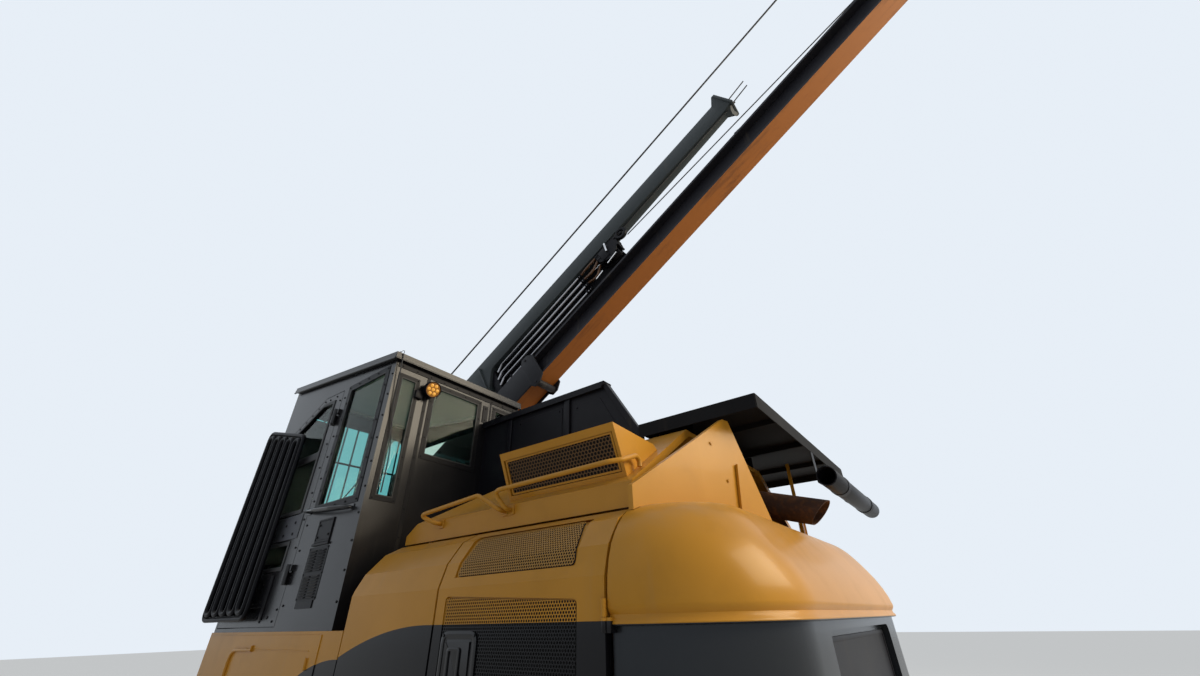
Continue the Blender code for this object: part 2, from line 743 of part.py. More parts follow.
def make_door():
    axis = empty("cab_door_axis", (DOOR_HINGE_X, DOOR_REAR, 2.5))
    door = plate(DOOR_OUTLINE, "X", SIDE_X - CAB_WALL, SIDE_X)
    upper = rounded([(-1.72, 2.44, 0.10), (-0.98, 2.44), (-0.98, 2.84), (-1.72, 2.84)], 0.03)
    top = [(-1.72, 2.90), (-0.98, 2.90), (-0.98, 3.34), (-1.16, 3.35), (-1.58, 3.16), (-1.72, 2.98)]
    lower = rectangle((-1.60, 2.04), (-1.02, 2.20), 0.03)
    for hole in (upper, top, lower):
        cut(door, plate(hole, "X", SIDE_X - 0.1, SIDE_X + 0.05))
    # columns: low and high corner of the inner rebate, top corners cut back
    seat_out = [(-1.75, 2.41), (-0.95, 2.41), (-0.95, 3.37), (-1.17, 3.38), (-1.61, 3.17), (-1.75, 2.99)]
    small_out = rectangle((-1.62, 2.02), (-1.00, 2.22))
    face = SIDE_X - 0.014
    for name, outline in (("door_glass", seat_out), ("door_glass_low", small_out)):
        cut(door, plate(outline, "X", SIDE_X - 0.1, face))
        pane = plate(grown(outline, -GAP), "X", face - GLASS - GAP, face - GAP)
        finish(pane, name, "glass")
        hang_on(axis, pane)
    for z in (1.95, 3.15):
        tab = box((SIDE_X - 0.01, DOOR_REAR - 0.05, z - 0.04), (DOOR_HINGE_X, DOOR_REAR - 0.006, z + 0.04))
        knuckle = bar((DOOR_HINGE_X, DOOR_REAR, z - 0.04), (DOOR_HINGE_X, DOOR_REAR, z + 0.04), 0.016, 12)
        fuse(door, tab, knuckle)
    handle = box((SIDE_X - 0.01, -1.70, 1.82), (SIDE_X + 0.03, -1.58, 2.00))
    fuse(door, handle)
    finish(door, "cab_door", "cab_black")

    ribs = 5
    low_y, high_y = -2.02, -1.18
    front_top, rear_top = 3.30, 3.08
    sheet = rounded([(low_y, 1.70), (high_y, 1.70), (high_y, rear_top), (low_y, front_top)], 0.07)
    guard = plate(sheet, "X", SIDE_X + 0.055, SIDE_X + 0.075)
    pitch = (high_y - low_y) / ribs
    for k in range(ribs):
        middle = low_y + pitch * (k + 0.5)
        top = front_top + (rear_top - front_top) * (middle - low_y) / (high_y - low_y) - 0.07
        ring = rectangle((middle - pitch * 0.32, 1.76), (middle + pitch * 0.32, top), pitch * 0.30, 4)
        fuse(guard, plate(ring, "X", SIDE_X + 0.072, SIDE_X + 0.105))
    for z in (1.78, 2.87):
        fuse(guard, box((SIDE_X + GAP, -1.75, z - 0.03), (SIDE_X + 0.06, -1.60, z + 0.03)))
    finish(guard, "door_guard", "cab_black")
    hang_on(axis, door, guard)


# House: side panels, doors, hood and scoop

def side_section(inset, bottom=DECK_TOP + GAP):
    """The house side's cross-section (x, z), this far inside the outer skin."""
    skin = [Vector((SIDE_X, bottom))] + [Vector(point) for point in SHOULDER]
    ways = [(after - before).normalized() for before, after in zip(skin, skin[1:])]
    made = []
    for i, here in enumerate(skin):
        before, after = ways[max(i - 1, 0)], ways[min(i, len(ways) - 1)]
        inward = Vector((-before.y, before.x))
        corner = (inward + Vector((-after.y, after.x))).normalized()
        made.append(tuple(here + corner * (inset / corner.dot(inward))))
    return made


def skin_between(inset, low, high):
    """The stretch of the side's cross-section between two heights."""
    line = side_section(inset)
    made = [(x, z) for x, z in line if low < z < high]
    ends = []
    for level in (low, high):
        for (x0, z0), (x1, z1) in zip(line, line[1:]):
            if z0 <= level < z1:
                ends.append((x0 + (x1 - x0) * (level - z0) / (z1 - z0), level))
    return [ends[0], *made, ends[1]]


def panel_outline(bottom):
    return side_section(0.0, bottom) + side_section(PANEL, bottom)[::-1]


def hood_z(x):
    """Height of the hood's sloping top."""
    share = (HOOD_EDGE_X - x) / (HOOD_EDGE_X - HOOD_PEAK_X)
    return HOOD_EDGE_Z + share * (HOOD_PEAK_Z - HOOD_EDGE_Z)


def make_house():
    front = [
        (BASE_REAR + 0.01, 1.2), (BASE_REAR + 0.01, 1.83), (HOOD_FRONT, 2.05), (HOOD_FRONT, 2.20),
        (2.2, 2.20), (2.2, 1.2),
    ]
    for side, word in ((1, "left"), (-1, "right")):
        fixed, swinging = panel_outline(DECK_TOP + GAP), panel_outline(DECK_TOP + 0.01)
        if side < 0:
            fixed, swinging = mirrored(fixed), mirrored(swinging)
        panel = plate(fixed, "Y", CAB_REAR + 0.006, HOUSE_SEAM_Y - SEAM)
        if side > 0:
            keep = plate(front, "X", 1.2, 1.6)
            boolean(panel, "INTERSECT", [keep])
        finish(panel, "front_panel_" + word, "yellow")

        door = plate(swinging, "Y", HOUSE_SEAM_Y + SEAM, HOUSE_REAR - 0.004)
        low_grille = rounded([(1.00, 1.36), (1.83, 1.36), (1.83, 1.725), (1.00, 1.765)], 0.02)
        side_low = min(side * (SIDE_X - 0.012), side * (SIDE_X + 0.1))
        side_high = max(side * (SIDE_X - 0.012), side * (SIDE_X + 0.1))
        cut(door, plate(low_grille, "X", side_low, side_high))
        band = skin_between(-0.05, GRILLE_LOW, GRILLE_HIGH)
        band += skin_between(GRILLE_DEEP, GRILLE_LOW, GRILLE_HIGH)[::-1]
        if side < 0:
            band = mirrored(band)
        cut(door, plate(band, "Y", 1.03, 1.81))
        hinge_x = side * (SIDE_X + ENGINE_HINGE_OUT)
        for z in ENGINE_HINGE_Z:
            near, far = sorted((side * (SIDE_X - 0.02), hinge_x))
            tab = box((near, HOUSE_REAR - 0.02, z), (far, HOUSE_REAR, z + 0.06))
            knuckle = bar((hinge_x, HOUSE_REAR, z), (hinge_x, HOUSE_REAR, z + 0.06), 0.010, 12)
            fuse(door, tab, knuckle)
        axis = empty("engine_door_axis_" + word, (hinge_x, HOUSE_REAR, 1.6))
        finish(door, "engine_door_" + word, "yellow")
        hang_on(axis, door)


def hood_section():
    """Closed (x, z) outline across the hood."""
    half = [(HOOD_EDGE_X, HOOD_BOTTOM), (HOOD_EDGE_X, HOOD_EDGE_Z), (HOOD_PEAK_X, HOOD_PEAK_Z)]
    return half + mirrored(half)


def nose_z(y):
    """Height of the sloping front of the hood."""
    return NOSE_Z + (y - HOOD_FRONT) * NOSE_RISE


def above_nose(drop):
    """What lies above the sloping front, lowered by a wall's thickness."""
    near, far = HOOD_FRONT - 0.2, HOOD_FRONT + 1.2
    outline = [(near, nose_z(near) - drop), (far, nose_z(far) - drop), (near, nose_z(far) - drop)]
    return plate(outline, "X", -SIDE_X, SIDE_X)


def make_hood():
    """The raised hood over the engine, open below, with a sloping front."""
    wall = HOOD_WALL
    half = [
        (HOOD_EDGE_X - wall, HOOD_BOTTOM - 0.03), (HOOD_EDGE_X - wall, HOOD_EDGE_Z - 0.02),
        (HOOD_PEAK_X - 0.03, HOOD_PEAK_Z - wall),
    ]
    hood = plate(hood_section(), "Y", HOOD_FRONT, HOUSE_REAR)
    cut(hood, above_nose(0.0))
    hollow = plate(half + mirrored(half), "Y", HOOD_FRONT + wall, HOUSE_REAR + 0.1)
    cut(hollow, above_nose(wall * 1.2))
    cut(hood, hollow)
    half_wall = side_section(PANEL + GAP)
    low, high = BULKHEAD_Y + 0.001, BULKHEAD_Y + wall - 0.001
    fuse(hood, plate(half_wall + mirrored(half_wall), "Y", low, high))
    reach = HOOD_EDGE_X - wall / 2
    fuse(hood, box((-reach, low + 0.001, HOOD_BOTTOM - 0.09), (reach, high - 0.001, HOOD_EDGE_Z - 0.01)))
    finish(hood, "hood", "yellow")

    face_y = (1.09, 1.91)
    seat_gap = 2 * GAP
    bottom_x, top_x, inner_x = 1.215, 1.325, 0.90
    bottom_z, top_z = hood_z(bottom_x) + seat_gap, 2.495
    wedge = [(inner_x, hood_z(inner_x) + seat_gap), (bottom_x, bottom_z), (top_x, top_z), (inner_x + 0.03, 2.478)]
    scoop = plate(wedge, "Y", *face_y)
    run = Vector((top_x - bottom_x, top_z - bottom_z))
    out = Vector((run.y, -run.x)).normalized()
    start, end = Vector((bottom_x, bottom_z)) + run * 0.09, Vector((bottom_x, bottom_z)) + run * 0.84
    mouth = [tuple(start + out * 0.05), tuple(end + out * 0.05), tuple(end - out * 0.03), tuple(start - out * 0.03)]
    cut(scoop, plate(mouth, "Y", face_y[0] + 0.02, face_y[1] - 0.02))
    finish(scoop, "intake_scoop", "yellow")

    engine = box((-0.70, 0.70, DECK_TOP + GAP), (0.70, 1.50, 2.15))
    finish(engine, "engine_block", "steel")


def weight_outline(side_inset, rear_inset):
    """Half-round plan of the counterweight (x, y), this far inside its full size."""
    side = SIDE_X - side_inset
    rear = WEIGHT_REAR - rear_inset
    corner = min(WEIGHT_CORNER - rear_inset * 0.3, rear - WEIGHT_FRONT - 0.006)
    made = [(side, WEIGHT_FRONT)]
    for k in range(WEIGHT_STEPS + 1):
        angle = pi / 2 * k / WEIGHT_STEPS
        made.append((side - corner + corner * cos(angle), rear - corner + corner * sin(angle)))
    return made + [(-x, y) for x, y in reversed(made)]


def make_counterweight():
    """A band below and a dome above, lofted through the same plan at each height."""
    # columns: height, inset of the plan's sides, inset of its rear
    levels = [
        (WEIGHT_BOTTOM, 0.03, 0.03), (WEIGHT_LIP - 0.015, 0.03, 0.03), (WEIGHT_LIP - 0.012, 0.0, 0.0),
        (WEIGHT_LIP + 0.05, 0.0, 0.0), (SHOULDER[0][1], 0.002, 0.035), (SHOULDER[1][1], 0.035, 0.105),
        (SHOULDER[2][1], 0.115, 0.19), (SHOULDER[3][1], 0.205, 0.24), (WEIGHT_TOP, 0.30, 0.28),
    ]
    mesh = bmesh.new()
    rings = []
    for z, side_inset, rear_inset in levels:
        plan = weight_outline(side_inset, rear_inset)
        rings.append([mesh.verts.new((x, y, z)) for x, y in plan])
    for low, high in zip(rings, rings[1:]):
        count = len(low)
        for i in range(count):
            j = (i + 1) % count
            mesh.faces.new((low[i], low[j], high[j], high[i]))
    mesh.faces.new(rings[0][::-1])
    mesh.faces.new(rings[-1])
    data = bpy.data.meshes.new("counterweight")
    mesh.to_mesh(data)
    mesh.free()
    made = bpy.data.objects.new("counterweight", data)
    PARTS.objects.link(made)
    for side in (-1, 1):
        hinge_x = side * (SIDE_X + ENGINE_HINGE_OUT)
        for z in ENGINE_HINGE_Z:
            near, far = sorted((side * (SIDE_X - 0.06), hinge_x))
            low_z, high_z = z - 0.05, z - GAP
            tab = box((near, HOUSE_REAR, low_z), (far, WEIGHT_FRONT + 0.03, high_z))
            knuckle = bar((hinge_x, HOUSE_REAR, low_z), (hinge_x, HOUSE_REAR, high_z), 0.010, 12)
            fuse(made, tab, knuckle)
    recess = rectangle((-0.70, 1.20), (0.70, 1.60), 0.05)
    cut(made, plate(recess, "Y", WEIGHT_REAR - 0.045, WEIGHT_REAR + 0.1))
    finish(made, "counterweight", "yellow")


def make_rear_wall(side, name, inner):
    """End wall of the raised hood: a folded sheet standing on the counterweight."""
    thick = 0.025
    seat = WEIGHT_TOP + GAP
    inner_y = HOUSE_REAR + 0.15 + (0.87 - inner) / 4
    front_line = [(1.33, HOUSE_REAR + 0.015), (0.87, HOUSE_REAR + 0.15), (inner, inner_y)]
    plan = front_line + [(x, y + thick) for x, y in front_line[::-1]]
    keep = [
        (inner, seat), (1.20, seat), (1.295, seat - 0.0235), (1.33, seat - 0.038), (1.33, HOOD_EDGE_Z - 0.04),
        (HOOD_PEAK_X, HOOD_PEAK_Z + 0.005), (HOOD_PEAK_X - 0.05, HOOD_PEAK_Z + 0.005),
    ]
    if side < 0:
        plan, keep = mirrored(plan), mirrored(keep)
    wall = plate(plan, "Z", seat - 0.1, HOOD_PEAK_Z + 0.1)
    boolean(wall, "INTERSECT", [plate(keep, "Y", HOUSE_REAR - 0.1, HOUSE_REAR + 0.5)])
    finish(wall, name, "yellow")


def make_tunnel():
    """Black wall beside the boom and the canopy over the exhaust."""
    foot_z = DECK_TOP + GAP
    over = 0.004
    nose_y = HOOD_FRONT - 0.01
    crest_y = HOOD_FRONT + (HOOD_PEAK_Z + 0.02 - over - NOSE_Z) / NOSE_RISE
    side = [
        (-0.02, foot_z), (nose_y, foot_z), (nose_y, nose_z(nose_y) + over), (crest_y, HOOD_PEAK_Z + 0.02),
        (1.61, HOOD_PEAK_Z + 0.02), (1.61, 2.73), (1.34, 3.17), (-0.02, 3.17),
    ]
    wall = plate(side, "X", 0.52, 0.56)
    rim = plate([(-0.03, 3.14), (1.30, 3.14), (1.33, 3.19), (-0.03, 3.19)], "X", 0.49, 0.59)
    foot = box((0.46, crest_y + 0.02, HOOD_PEAK_Z + GAP), (0.55, 1.60, HOOD_PEAK_Z + 0.03))
    fuse(wall, rim, foot)
    finish(wall, "tunnel_wall", "black")

    low, high = (-1.46, 1.63, 2.71), (0.63, 2.43, 2.75)
    canopy = box(low, high)
    lip = 0.03
    fuse(canopy, box((high[0] - lip, low[1], low[2] - 0.05), (high[0], high[1], high[2] - 0.001)))
    fuse(canopy, box((low[0], high[1] - lip, low[2] - 0.05), (high[0] - 0.001, high[1] - 0.001, high[2] - 0.002)))
    for x in (-0.56, 0.46):
        fuse(canopy, box((x, 1.70, HOOD_PEAK_Z + GAP), (x + 0.06, HOUSE_REAR - 0.02, low[2] + 0.01)))
    finish(canopy, "canopy", "black")

    near, far = Vector((-0.10, 2.55, 2.40)), Vector((-1.55, 2.55, 2.40))
    over_end = Vector((0.1, 0.0, 0.0))
    tube = bar(near, far, 0.0625, 20)
    cut(tube, bar(near + over_end, far - over_end, 0.052, 20))
    hanger_top = low[2] - 0.05 - GAP
    for x in (-0.45, -1.25):
        fuse(tube, box((x - 0.03, high[1] - lip, 2.44), (x + 0.03, high[1] - 0.001, hanger_top)))
        fuse(tube, box((x - 0.03, high[1] - lip, 2.44), (x + 0.03, near.y, 2.48)))
    finish(tube, "rest_tube", "black")


def make_exhaust():
    """Pipe from the engine to an outlet cut off obliquely, longest at the top."""
    x = -0.30
    top = Vector((x, 2.00, 2.345))
    end = Vector((x, 2.60, WEIGHT_TOP + 0.075))
    route = [(x, 1.30, 2.15 + GAP), (x, 1.30, 2.26), (x, 1.42, 2.345), tuple(top), tuple(end)]
    made = pipe(route, PIPE_R, 4)
    cut(made, bar(end - (end - top) * 0.6, end + (end - top) * 0.3, PIPE_R - PIPE_WALL, 20))
    oblique = [(2.18, 1.98), (2.9, 1.98), (2.9, 2.5), (2.70, 2.5)]
    cut(made, plate(oblique, "X", x - 0.2, x + 0.2))
    finish(made, "exhaust", "rust")


def make_rails():
    """Two grab bars along the hood's left edge."""
    radius = 0.012
    face = HOOD_EDGE_X + GAP
    out = HOOD_EDGE_X + 0.09
    foot_z = HOOD_EDGE_Z - 0.03
    front = pipe([
        (face, 0.55, foot_z), (face + 0.04, 0.55, foot_z), (out - 0.005, 0.42, 2.235), (out, 0.98, 2.27),
        (face + 0.04, 1.125, foot_z), (face, 1.125, foot_z),
    ], radius, 2)
    finish(front, "handrail_front", "yellow")
    end_x = 1.15
    end_y = HOUSE_REAR - 0.025
    end_z = hood_z(end_x - radius) + GAP
    rear = pipe([
        (face, 1.17, foot_z), (face + 0.04, 1.17, foot_z), (out, 1.11, 2.275), (out, 1.90, 2.285),
        (out - 0.05, end_y, 2.30), (end_x + 0.04, end_y, 2.345), (end_x, end_y, 2.33), (end_x, end_y, end_z),
    ], radius, 2)
    finish(rear, "handrail", "yellow")


# Boom group, modelled level round its pivot and tilted by its axis

def make_boom():
    tilt = empty("boom_axis", (BOOM_X, PIVOT_Y, PIVOT_Z), BOOM_REST)
    half = BEAM_WIDE / 2
    low, high = BEAM_LOW, BEAM_LOW + BEAM_DEEP

    cradle_side = rounded([
        (CRADLE_FRONT, low - 0.10, 0.02), (CRADLE_FRONT, high + 0.09, 0.02), (CRADLE_REAR, high + 0.09, 0.02),
        (CRADLE_REAR, low - 0.10, 0.02), (0.55, low - 0.14, 0.05), (0.16, -0.13, 0.10), (-0.16, -0.13, 0.10),
        (-0.45, low - 0.16, 0.1), (-1.05, low - 0.18, 0.1), (-1.25, -0.10, 0.06), (-1.46, -0.10, 0.06),
    ][::-1], 0.02, 3)
    cradle = plate(cradle_side, "X", -CRADLE_HALF, CRADLE_HALF)
    cut(cradle, box((-half - RUN, -2, low - RUN), (half + RUN, 2, high + RUN)))
    eye_room = box((-CRADLE_HALF + 0.03, -1.62, -0.3), (CRADLE_HALF - 0.03, -0.62, low - 0.10))
    cut(cradle, eye_room)
    pin = bar((-CRADLE_HALF - RUN - CHEEK - 0.02, 0, 0), (CRADLE_HALF + RUN + CHEEK + 0.02, 0, 0), PIN_R, 24)
    fuse(cradle, pin)
    roll = 0.040
    for s in (CRADLE_FRONT + 0.12, CRADLE_REAR - 0.12):
        for w in (low - roll - GAP, high + roll + GAP):
            fuse(cradle, bar((-half - 0.02, s, w), (half + 0.02, s, w), roll, 12))
    finish(cradle, "boom_cradle", "black")

    hose_low, hose_high = HOSE_BEAM_LOW, HOSE_BEAM_LOW + HOSE_BEAM_DEEP
    beam_side = rounded([
        (-0.35, high + 0.09 + GAP, 0), (0.75, high + 0.09 + GAP, 0), (0.42, high + 0.30, 0.1),
        (0.62, hose_low, 0.1), (HOSE_BEAM_REAR - END_FLARE, hose_low, 0.02),
        (HOSE_BEAM_REAR - 0.03, hose_low - END_FLARE / 3, 0.01), (HOSE_BEAM_REAR, hose_low - END_FLARE / 3, 0.01),
        (HOSE_BEAM_REAR, hose_high + END_FLARE / 2, 0.01), (HOSE_BEAM_REAR - 0.04, hose_high + END_FLARE / 2, 0.01),
        (HOSE_BEAM_REAR - END_FLARE, hose_high, 0.02), (-0.10, hose_high, 0.05),
    ], 0.05, 3)
    hose_beam = plate(beam_side, "X", -HOSE_BEAM_HALF, HOSE_BEAM_HALF)
    finish(hose_beam, "hose_beam", "grey")

    trolley = plate([
        (1.95, hose_low - GAP), (1.95, hose_low - 0.20), (2.10, hose_low - 0.28), (2.40, hose_low - 0.28),
        (2.66, hose_low - 0.14), (2.66, hose_low - GAP),
    ], "X", -0.06, 0.06)
    sheave = bar((-0.03, 2.66, hose_low - 0.09), (0.03, 2.66, hose_low - 0.09), 0.075, 20)
    fuse(trolley, sheave)
    finish(trolley, "hose_trolley", "steel")

    # the tail reaches as far back as the head reaches forward
    c, s = cos(BOOM_REST), sin(BOOM_REST)
    head_reach = PIVOT_Y + (HEAD_FRONT + HEAD_ROUND) * c - (HEAD_TOP - HEAD_ROUND) * s - HEAD_ROUND
    tail = (-head_reach - PIVOT_Y + BEAM_LOW * s) / c
    section = [
        (-half, low), (half, low), (half, low + FLANGE), (WEB / 2, low + FLANGE), (WEB / 2, high - FLANGE),
        (half, high - FLANGE), (half, high), (-half, high), (-half, high - FLANGE), (-WEB / 2, high - FLANGE),
        (-WEB / 2, low + FLANGE), (-half, low + FLANGE),
    ]
    beam = plate(section, "Y", BEAM_FRONT, tail)
    lug = plate([(4.20, high - 0.01), (4.46, high - 0.01), (4.42, high + 0.12), (4.27, high + 0.14)], "X", -0.02, 0.02)
    boolean(beam, "UNION", [lug], "MANIFOLD")
    finish(beam, "stroke_beam", "grey")

    head_side = rounded([
        (HEAD_FRONT, HEAD_LOW, 0.04), (HEAD_FRONT, HEAD_TOP, HEAD_ROUND), (BEAM_FRONT - 0.03, HEAD_TOP, 0.06),
        (BEAM_FRONT + 0.22, high + 0.012, 0), (BEAM_FRONT + 0.22, high + GAP, 0), (BEAM_FRONT - GAP, high + GAP, 0),
        (BEAM_FRONT - GAP, low - 0.01, 0), (BEAM_FRONT - 0.02, HEAD_LOW, 0),
    ][::-1], 0.04, 3)
    head = plate(head_side, "X", -0.19, 0.19)
    for side in (-1, 1):
        boss = bar((side * HINGE_OUT, HEAD_FRONT, KNIFE_HINGE_W), (side * HINGE_OUT, HEAD_FRONT + 0.06, KNIFE_HINGE_W), 0.05)
        boss_rear = bar(
            (side * HINGE_OUT, BEAM_FRONT - 0.08, KNIFE_HINGE_W), (side * HINGE_OUT, BEAM_FRONT - 0.02, KNIFE_HINGE_W), 0.05
        )
        for y0 in (HEAD_FRONT, BEAM_FRONT - 0.08):
            x0, x1 = sorted((side * 0.12, side * (HINGE_OUT + 0.03)))
            fuse(head, box((x0, y0, KNIFE_HINGE_W), (x1, y0 + 0.06, HEAD_LOW + 0.12)))
        fuse(head, boss, boss_rear)
    finish(head, "delimbing_head", "black")

    grips = []
    for side, word in ((1, "left"), (-1, "right")):
        # columns: name, start along the beam, end, hinge height, radius
        for name, start, end, hinge_w, reach in (
            ("knife_", HEAD_FRONT + 0.06 + GAP, BEAM_FRONT - 0.08 - GAP, KNIFE_HINGE_W, KNIFE_R),
            ("hold_arm_", CRADLE_FRONT - 0.18, CRADLE_FRONT - 0.08 - GAP, ARM_HINGE_W, ARM_R),
        ):
            centre = hinge_w - 0.15
            outer, inner = [], []
            for k in range(9):
                angle = radians(32) - radians(116) * k / 8
                outer.append((side * reach * cos(angle), centre + reach * sin(angle)))
                thick = 0.075 - 0.055 * k / 8
                inner.append((side * (reach - thick) * cos(angle), centre + (reach - thick) * sin(angle)))
            claw_outline = outer + inner[::-1]
            claw = plate(claw_outline, "Y", start + 0.006, end - 0.006)
            fuse(claw, bar((side * HINGE_OUT, start, hinge_w), (side * HINGE_OUT, end, hinge_w), 0.05, 16))
            finish(claw, name + word, "steel")
            grips.append(claw)
    for side in (-1, 1):
        bracket = box(
            (min(side * 0.15, side * (HINGE_OUT + 0.03)), CRADLE_FRONT - 0.08, ARM_HINGE_W - 0.03),
            (max(side * 0.15, side * (HINGE_OUT + 0.03)), CRADLE_FRONT + 0.05, low - 0.02),
        )
        fuse(cradle, bracket)
    tilt_with(tilt, cradle, hose_beam, trolley, beam, head, *grips)


def make_tilt_cylinders():
    """A pair of barrels on the tower's pin, and the rods that push the cradle."""
    c, s = cos(BOOM_REST), sin(BOOM_REST)
    base = Vector((0, TILT_BASE_Y, TILT_BASE_Z))
    eye = Vector((0, PIVOT_Y + TILT_EYE_S * c - TILT_EYE_W * s, PIVOT_Z + TILT_EYE_S * s + TILT_EYE_W * c))
    way = (eye - base).normalized()
    length = (eye - base).length
    axis = empty("tilt_axis", (BOOM_X, TILT_BASE_Y, TILT_BASE_Z))
    mouth = base + way * (length - 0.10)
    barrels = None
    for side in (-1, 1):
        x = Vector((BOOM_X + side * TILT_PAIR, 0, 0))
        barrel = bar(x + base + way * 0.09, x + mouth, BARREL_R, 16)
        bush = bar(x + base - Vector((0.055, 0, 0)), x + base + Vector((0.055, 0, 0)), 0.06, 16)
        neck = bar(x + base, x + base + way * 0.12, 0.045, 12)
        if barrels is None:
            barrels = barrel
            fuse(barrels, bush, neck)
        else:
            fuse(barrels, barrel, bush, neck)
    tie_low = base + way * 0.45
    tie = bar(Vector((BOOM_X - TILT_PAIR, 0, 0)) + tie_low, Vector((BOOM_X + TILT_PAIR, 0, 0)) + tie_low, 0.03, 12)
    fuse(barrels, tie)
    x0 = Vector((BOOM_X, 0, 0))
    cut(barrels, bar(x0 + base - Vector((0.3, 0, 0)), x0 + base + Vector((0.3, 0, 0)), TILT_PIN_R / cos(pi / 16) + GAP, 16))
    for side in (-1, 1):
        x = Vector((BOOM_X + side * TILT_PAIR, 0, 0))
        cut(barrels, bar(x + base + way * 0.10, x + mouth + way * 0.1, ROD_R + 0.0010, 16))
    finish(barrels, "tilt_barrels", "black")
    rods = None
    for side in (-1, 1):
        x = Vector((BOOM_X + side * TILT_PAIR, 0, 0))
        rod = bar(x + base + way * 0.12, x + eye, ROD_R, 16)
        if rods is None:
            rods = rod
        else:
            fuse(rods, rod)
    reach = CRADLE_HALF - 0.03 - 0.008
    eye_bar = bar(Vector((BOOM_X - reach, 0, 0)) + eye, Vector((BOOM_X + reach, 0, 0)) + eye, 0.05, 16)
    fuse(rods, eye_bar)
    finish(rods, "tilt_rods", "chrome")
    hang_on(axis, barrels, rods)


def make_work_light():
    light = bar((1.17, CAB_REAR + 0.05, 3.30), (1.17, CAB_REAR + 0.12, 3.30), 0.055, 20)
    bracket = box((1.13, CAB_REAR + GAP, 3.26), (1.21, CAB_REAR + 0.06, 3.34))
    fuse(light, bracket)
    finish(light, "work_light", "amber")


make_undercarriage()
make_deck()
make_tower()
make_cab()
make_door()
make_house()
make_hood()
make_counterweight()
make_rear_wall(1, "rear_wall", 0.31)
make_rear_wall(-1, "rear_wall_right", 0.41)
make_tunnel()
make_exhaust()
make_rails()
make_boom()
make_tilt_cylinders()
make_work_light()
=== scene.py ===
"""Looks of the forestry excavator: finishes, sheet-metal detail, glass, hoses and light."""
import bpy
from math import atan, cos, pi, radians, sin, tan
from mathutils import Matrix, Vector


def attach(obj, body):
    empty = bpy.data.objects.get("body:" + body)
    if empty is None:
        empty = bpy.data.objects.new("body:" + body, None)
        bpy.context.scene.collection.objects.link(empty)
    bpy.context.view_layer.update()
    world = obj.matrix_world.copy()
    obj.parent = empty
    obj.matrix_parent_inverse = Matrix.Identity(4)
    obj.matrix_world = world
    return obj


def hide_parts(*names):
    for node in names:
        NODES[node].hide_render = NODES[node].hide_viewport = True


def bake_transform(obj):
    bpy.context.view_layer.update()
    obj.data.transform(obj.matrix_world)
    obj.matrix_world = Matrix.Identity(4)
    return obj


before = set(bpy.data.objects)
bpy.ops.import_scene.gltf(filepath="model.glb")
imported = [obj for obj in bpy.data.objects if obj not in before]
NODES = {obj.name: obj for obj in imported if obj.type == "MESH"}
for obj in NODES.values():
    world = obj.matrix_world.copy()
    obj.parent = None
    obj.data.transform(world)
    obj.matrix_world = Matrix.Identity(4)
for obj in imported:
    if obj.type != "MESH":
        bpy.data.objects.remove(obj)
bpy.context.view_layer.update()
bpy.ops.object.select_all(action="DESELECT")

# The machine's own measures, repeated from its solids
SIDE_X = 1.50
# half width and height up the side's rounded shoulder
SIDE_LINE = [(1.500, 1.000), (1.500, 1.800), (1.465, 1.915), (1.385, 2.025), (1.290, 2.075)]
HOUSE_REAR = 1.97
STRIPE_Z = 1.648
STRIPE_FRONT_Y = 0.88
STRIPE_FALL = 0.24
BASE_STRIPE_Z, BASE_STRIPE_FRONT_Y, BASE_STRIPE_FALL = 1.494, 0.108, 0.5
STRIPE_EDGE = 0.0006
WEIGHT_FRONT, WEIGHT_REAR, WEIGHT_LIP = 1.98, 2.58, 1.65
BOOM_PIVOT = Vector((-0.25, -0.60, 3.05))
BOOM_REST = radians(31.5)
BOOM_TURN = Matrix.Translation(BOOM_PIVOT) @ Matrix.Rotation(BOOM_REST, 4, "X")
BEAM_DOWN = (0.0, sin(BOOM_REST), -cos(BOOM_REST))


# Camera, floor and light

EYE = (3.10, 3.15, 1.65)
LENS_MM = 13.7
FLOOR_SIZE = 120.0
# share of the floor that shows plain and pale
FLOOR_PALE = 0.6


def set_camera():
    """A wide lens close to the rear left corner, looking up along the boom."""
    right = Vector((-0.6019, 0.7982, -0.0205))
    up = Vector((0.4095, 0.3306, 0.8503))
    back = right.cross(up)
    turn = Matrix((right, up, back)).transposed().to_4x4()
    lens = bpy.data.cameras.new("photo_lens")
    lens.sensor_width = 36.0
    lens.lens = LENS_MM
    lens.clip_start = 0.05
    camera = bpy.data.objects.new("photo_camera", lens)
    camera.matrix_world = Matrix.Translation(EYE) @ turn
    bpy.context.scene.collection.objects.link(camera)
    bpy.context.scene.camera = camera


def soft_lamp(name, place, aim, size, power, colour=(1.0, 1.0, 1.0)):
    lamp = bpy.data.lights.new(name, "AREA")
    lamp.shape = "RECTANGLE"
    lamp.size, lamp.size_y = size
    lamp.energy = power
    lamp.color = colour
    made = bpy.data.objects.new(name, lamp)
    way = Vector(aim) - Vector(place)
    made.matrix_world = Matrix.Translation(place) @ way.to_track_quat("-Z", "Y").to_matrix().to_4x4()
    bpy.context.scene.collection.objects.link(made)


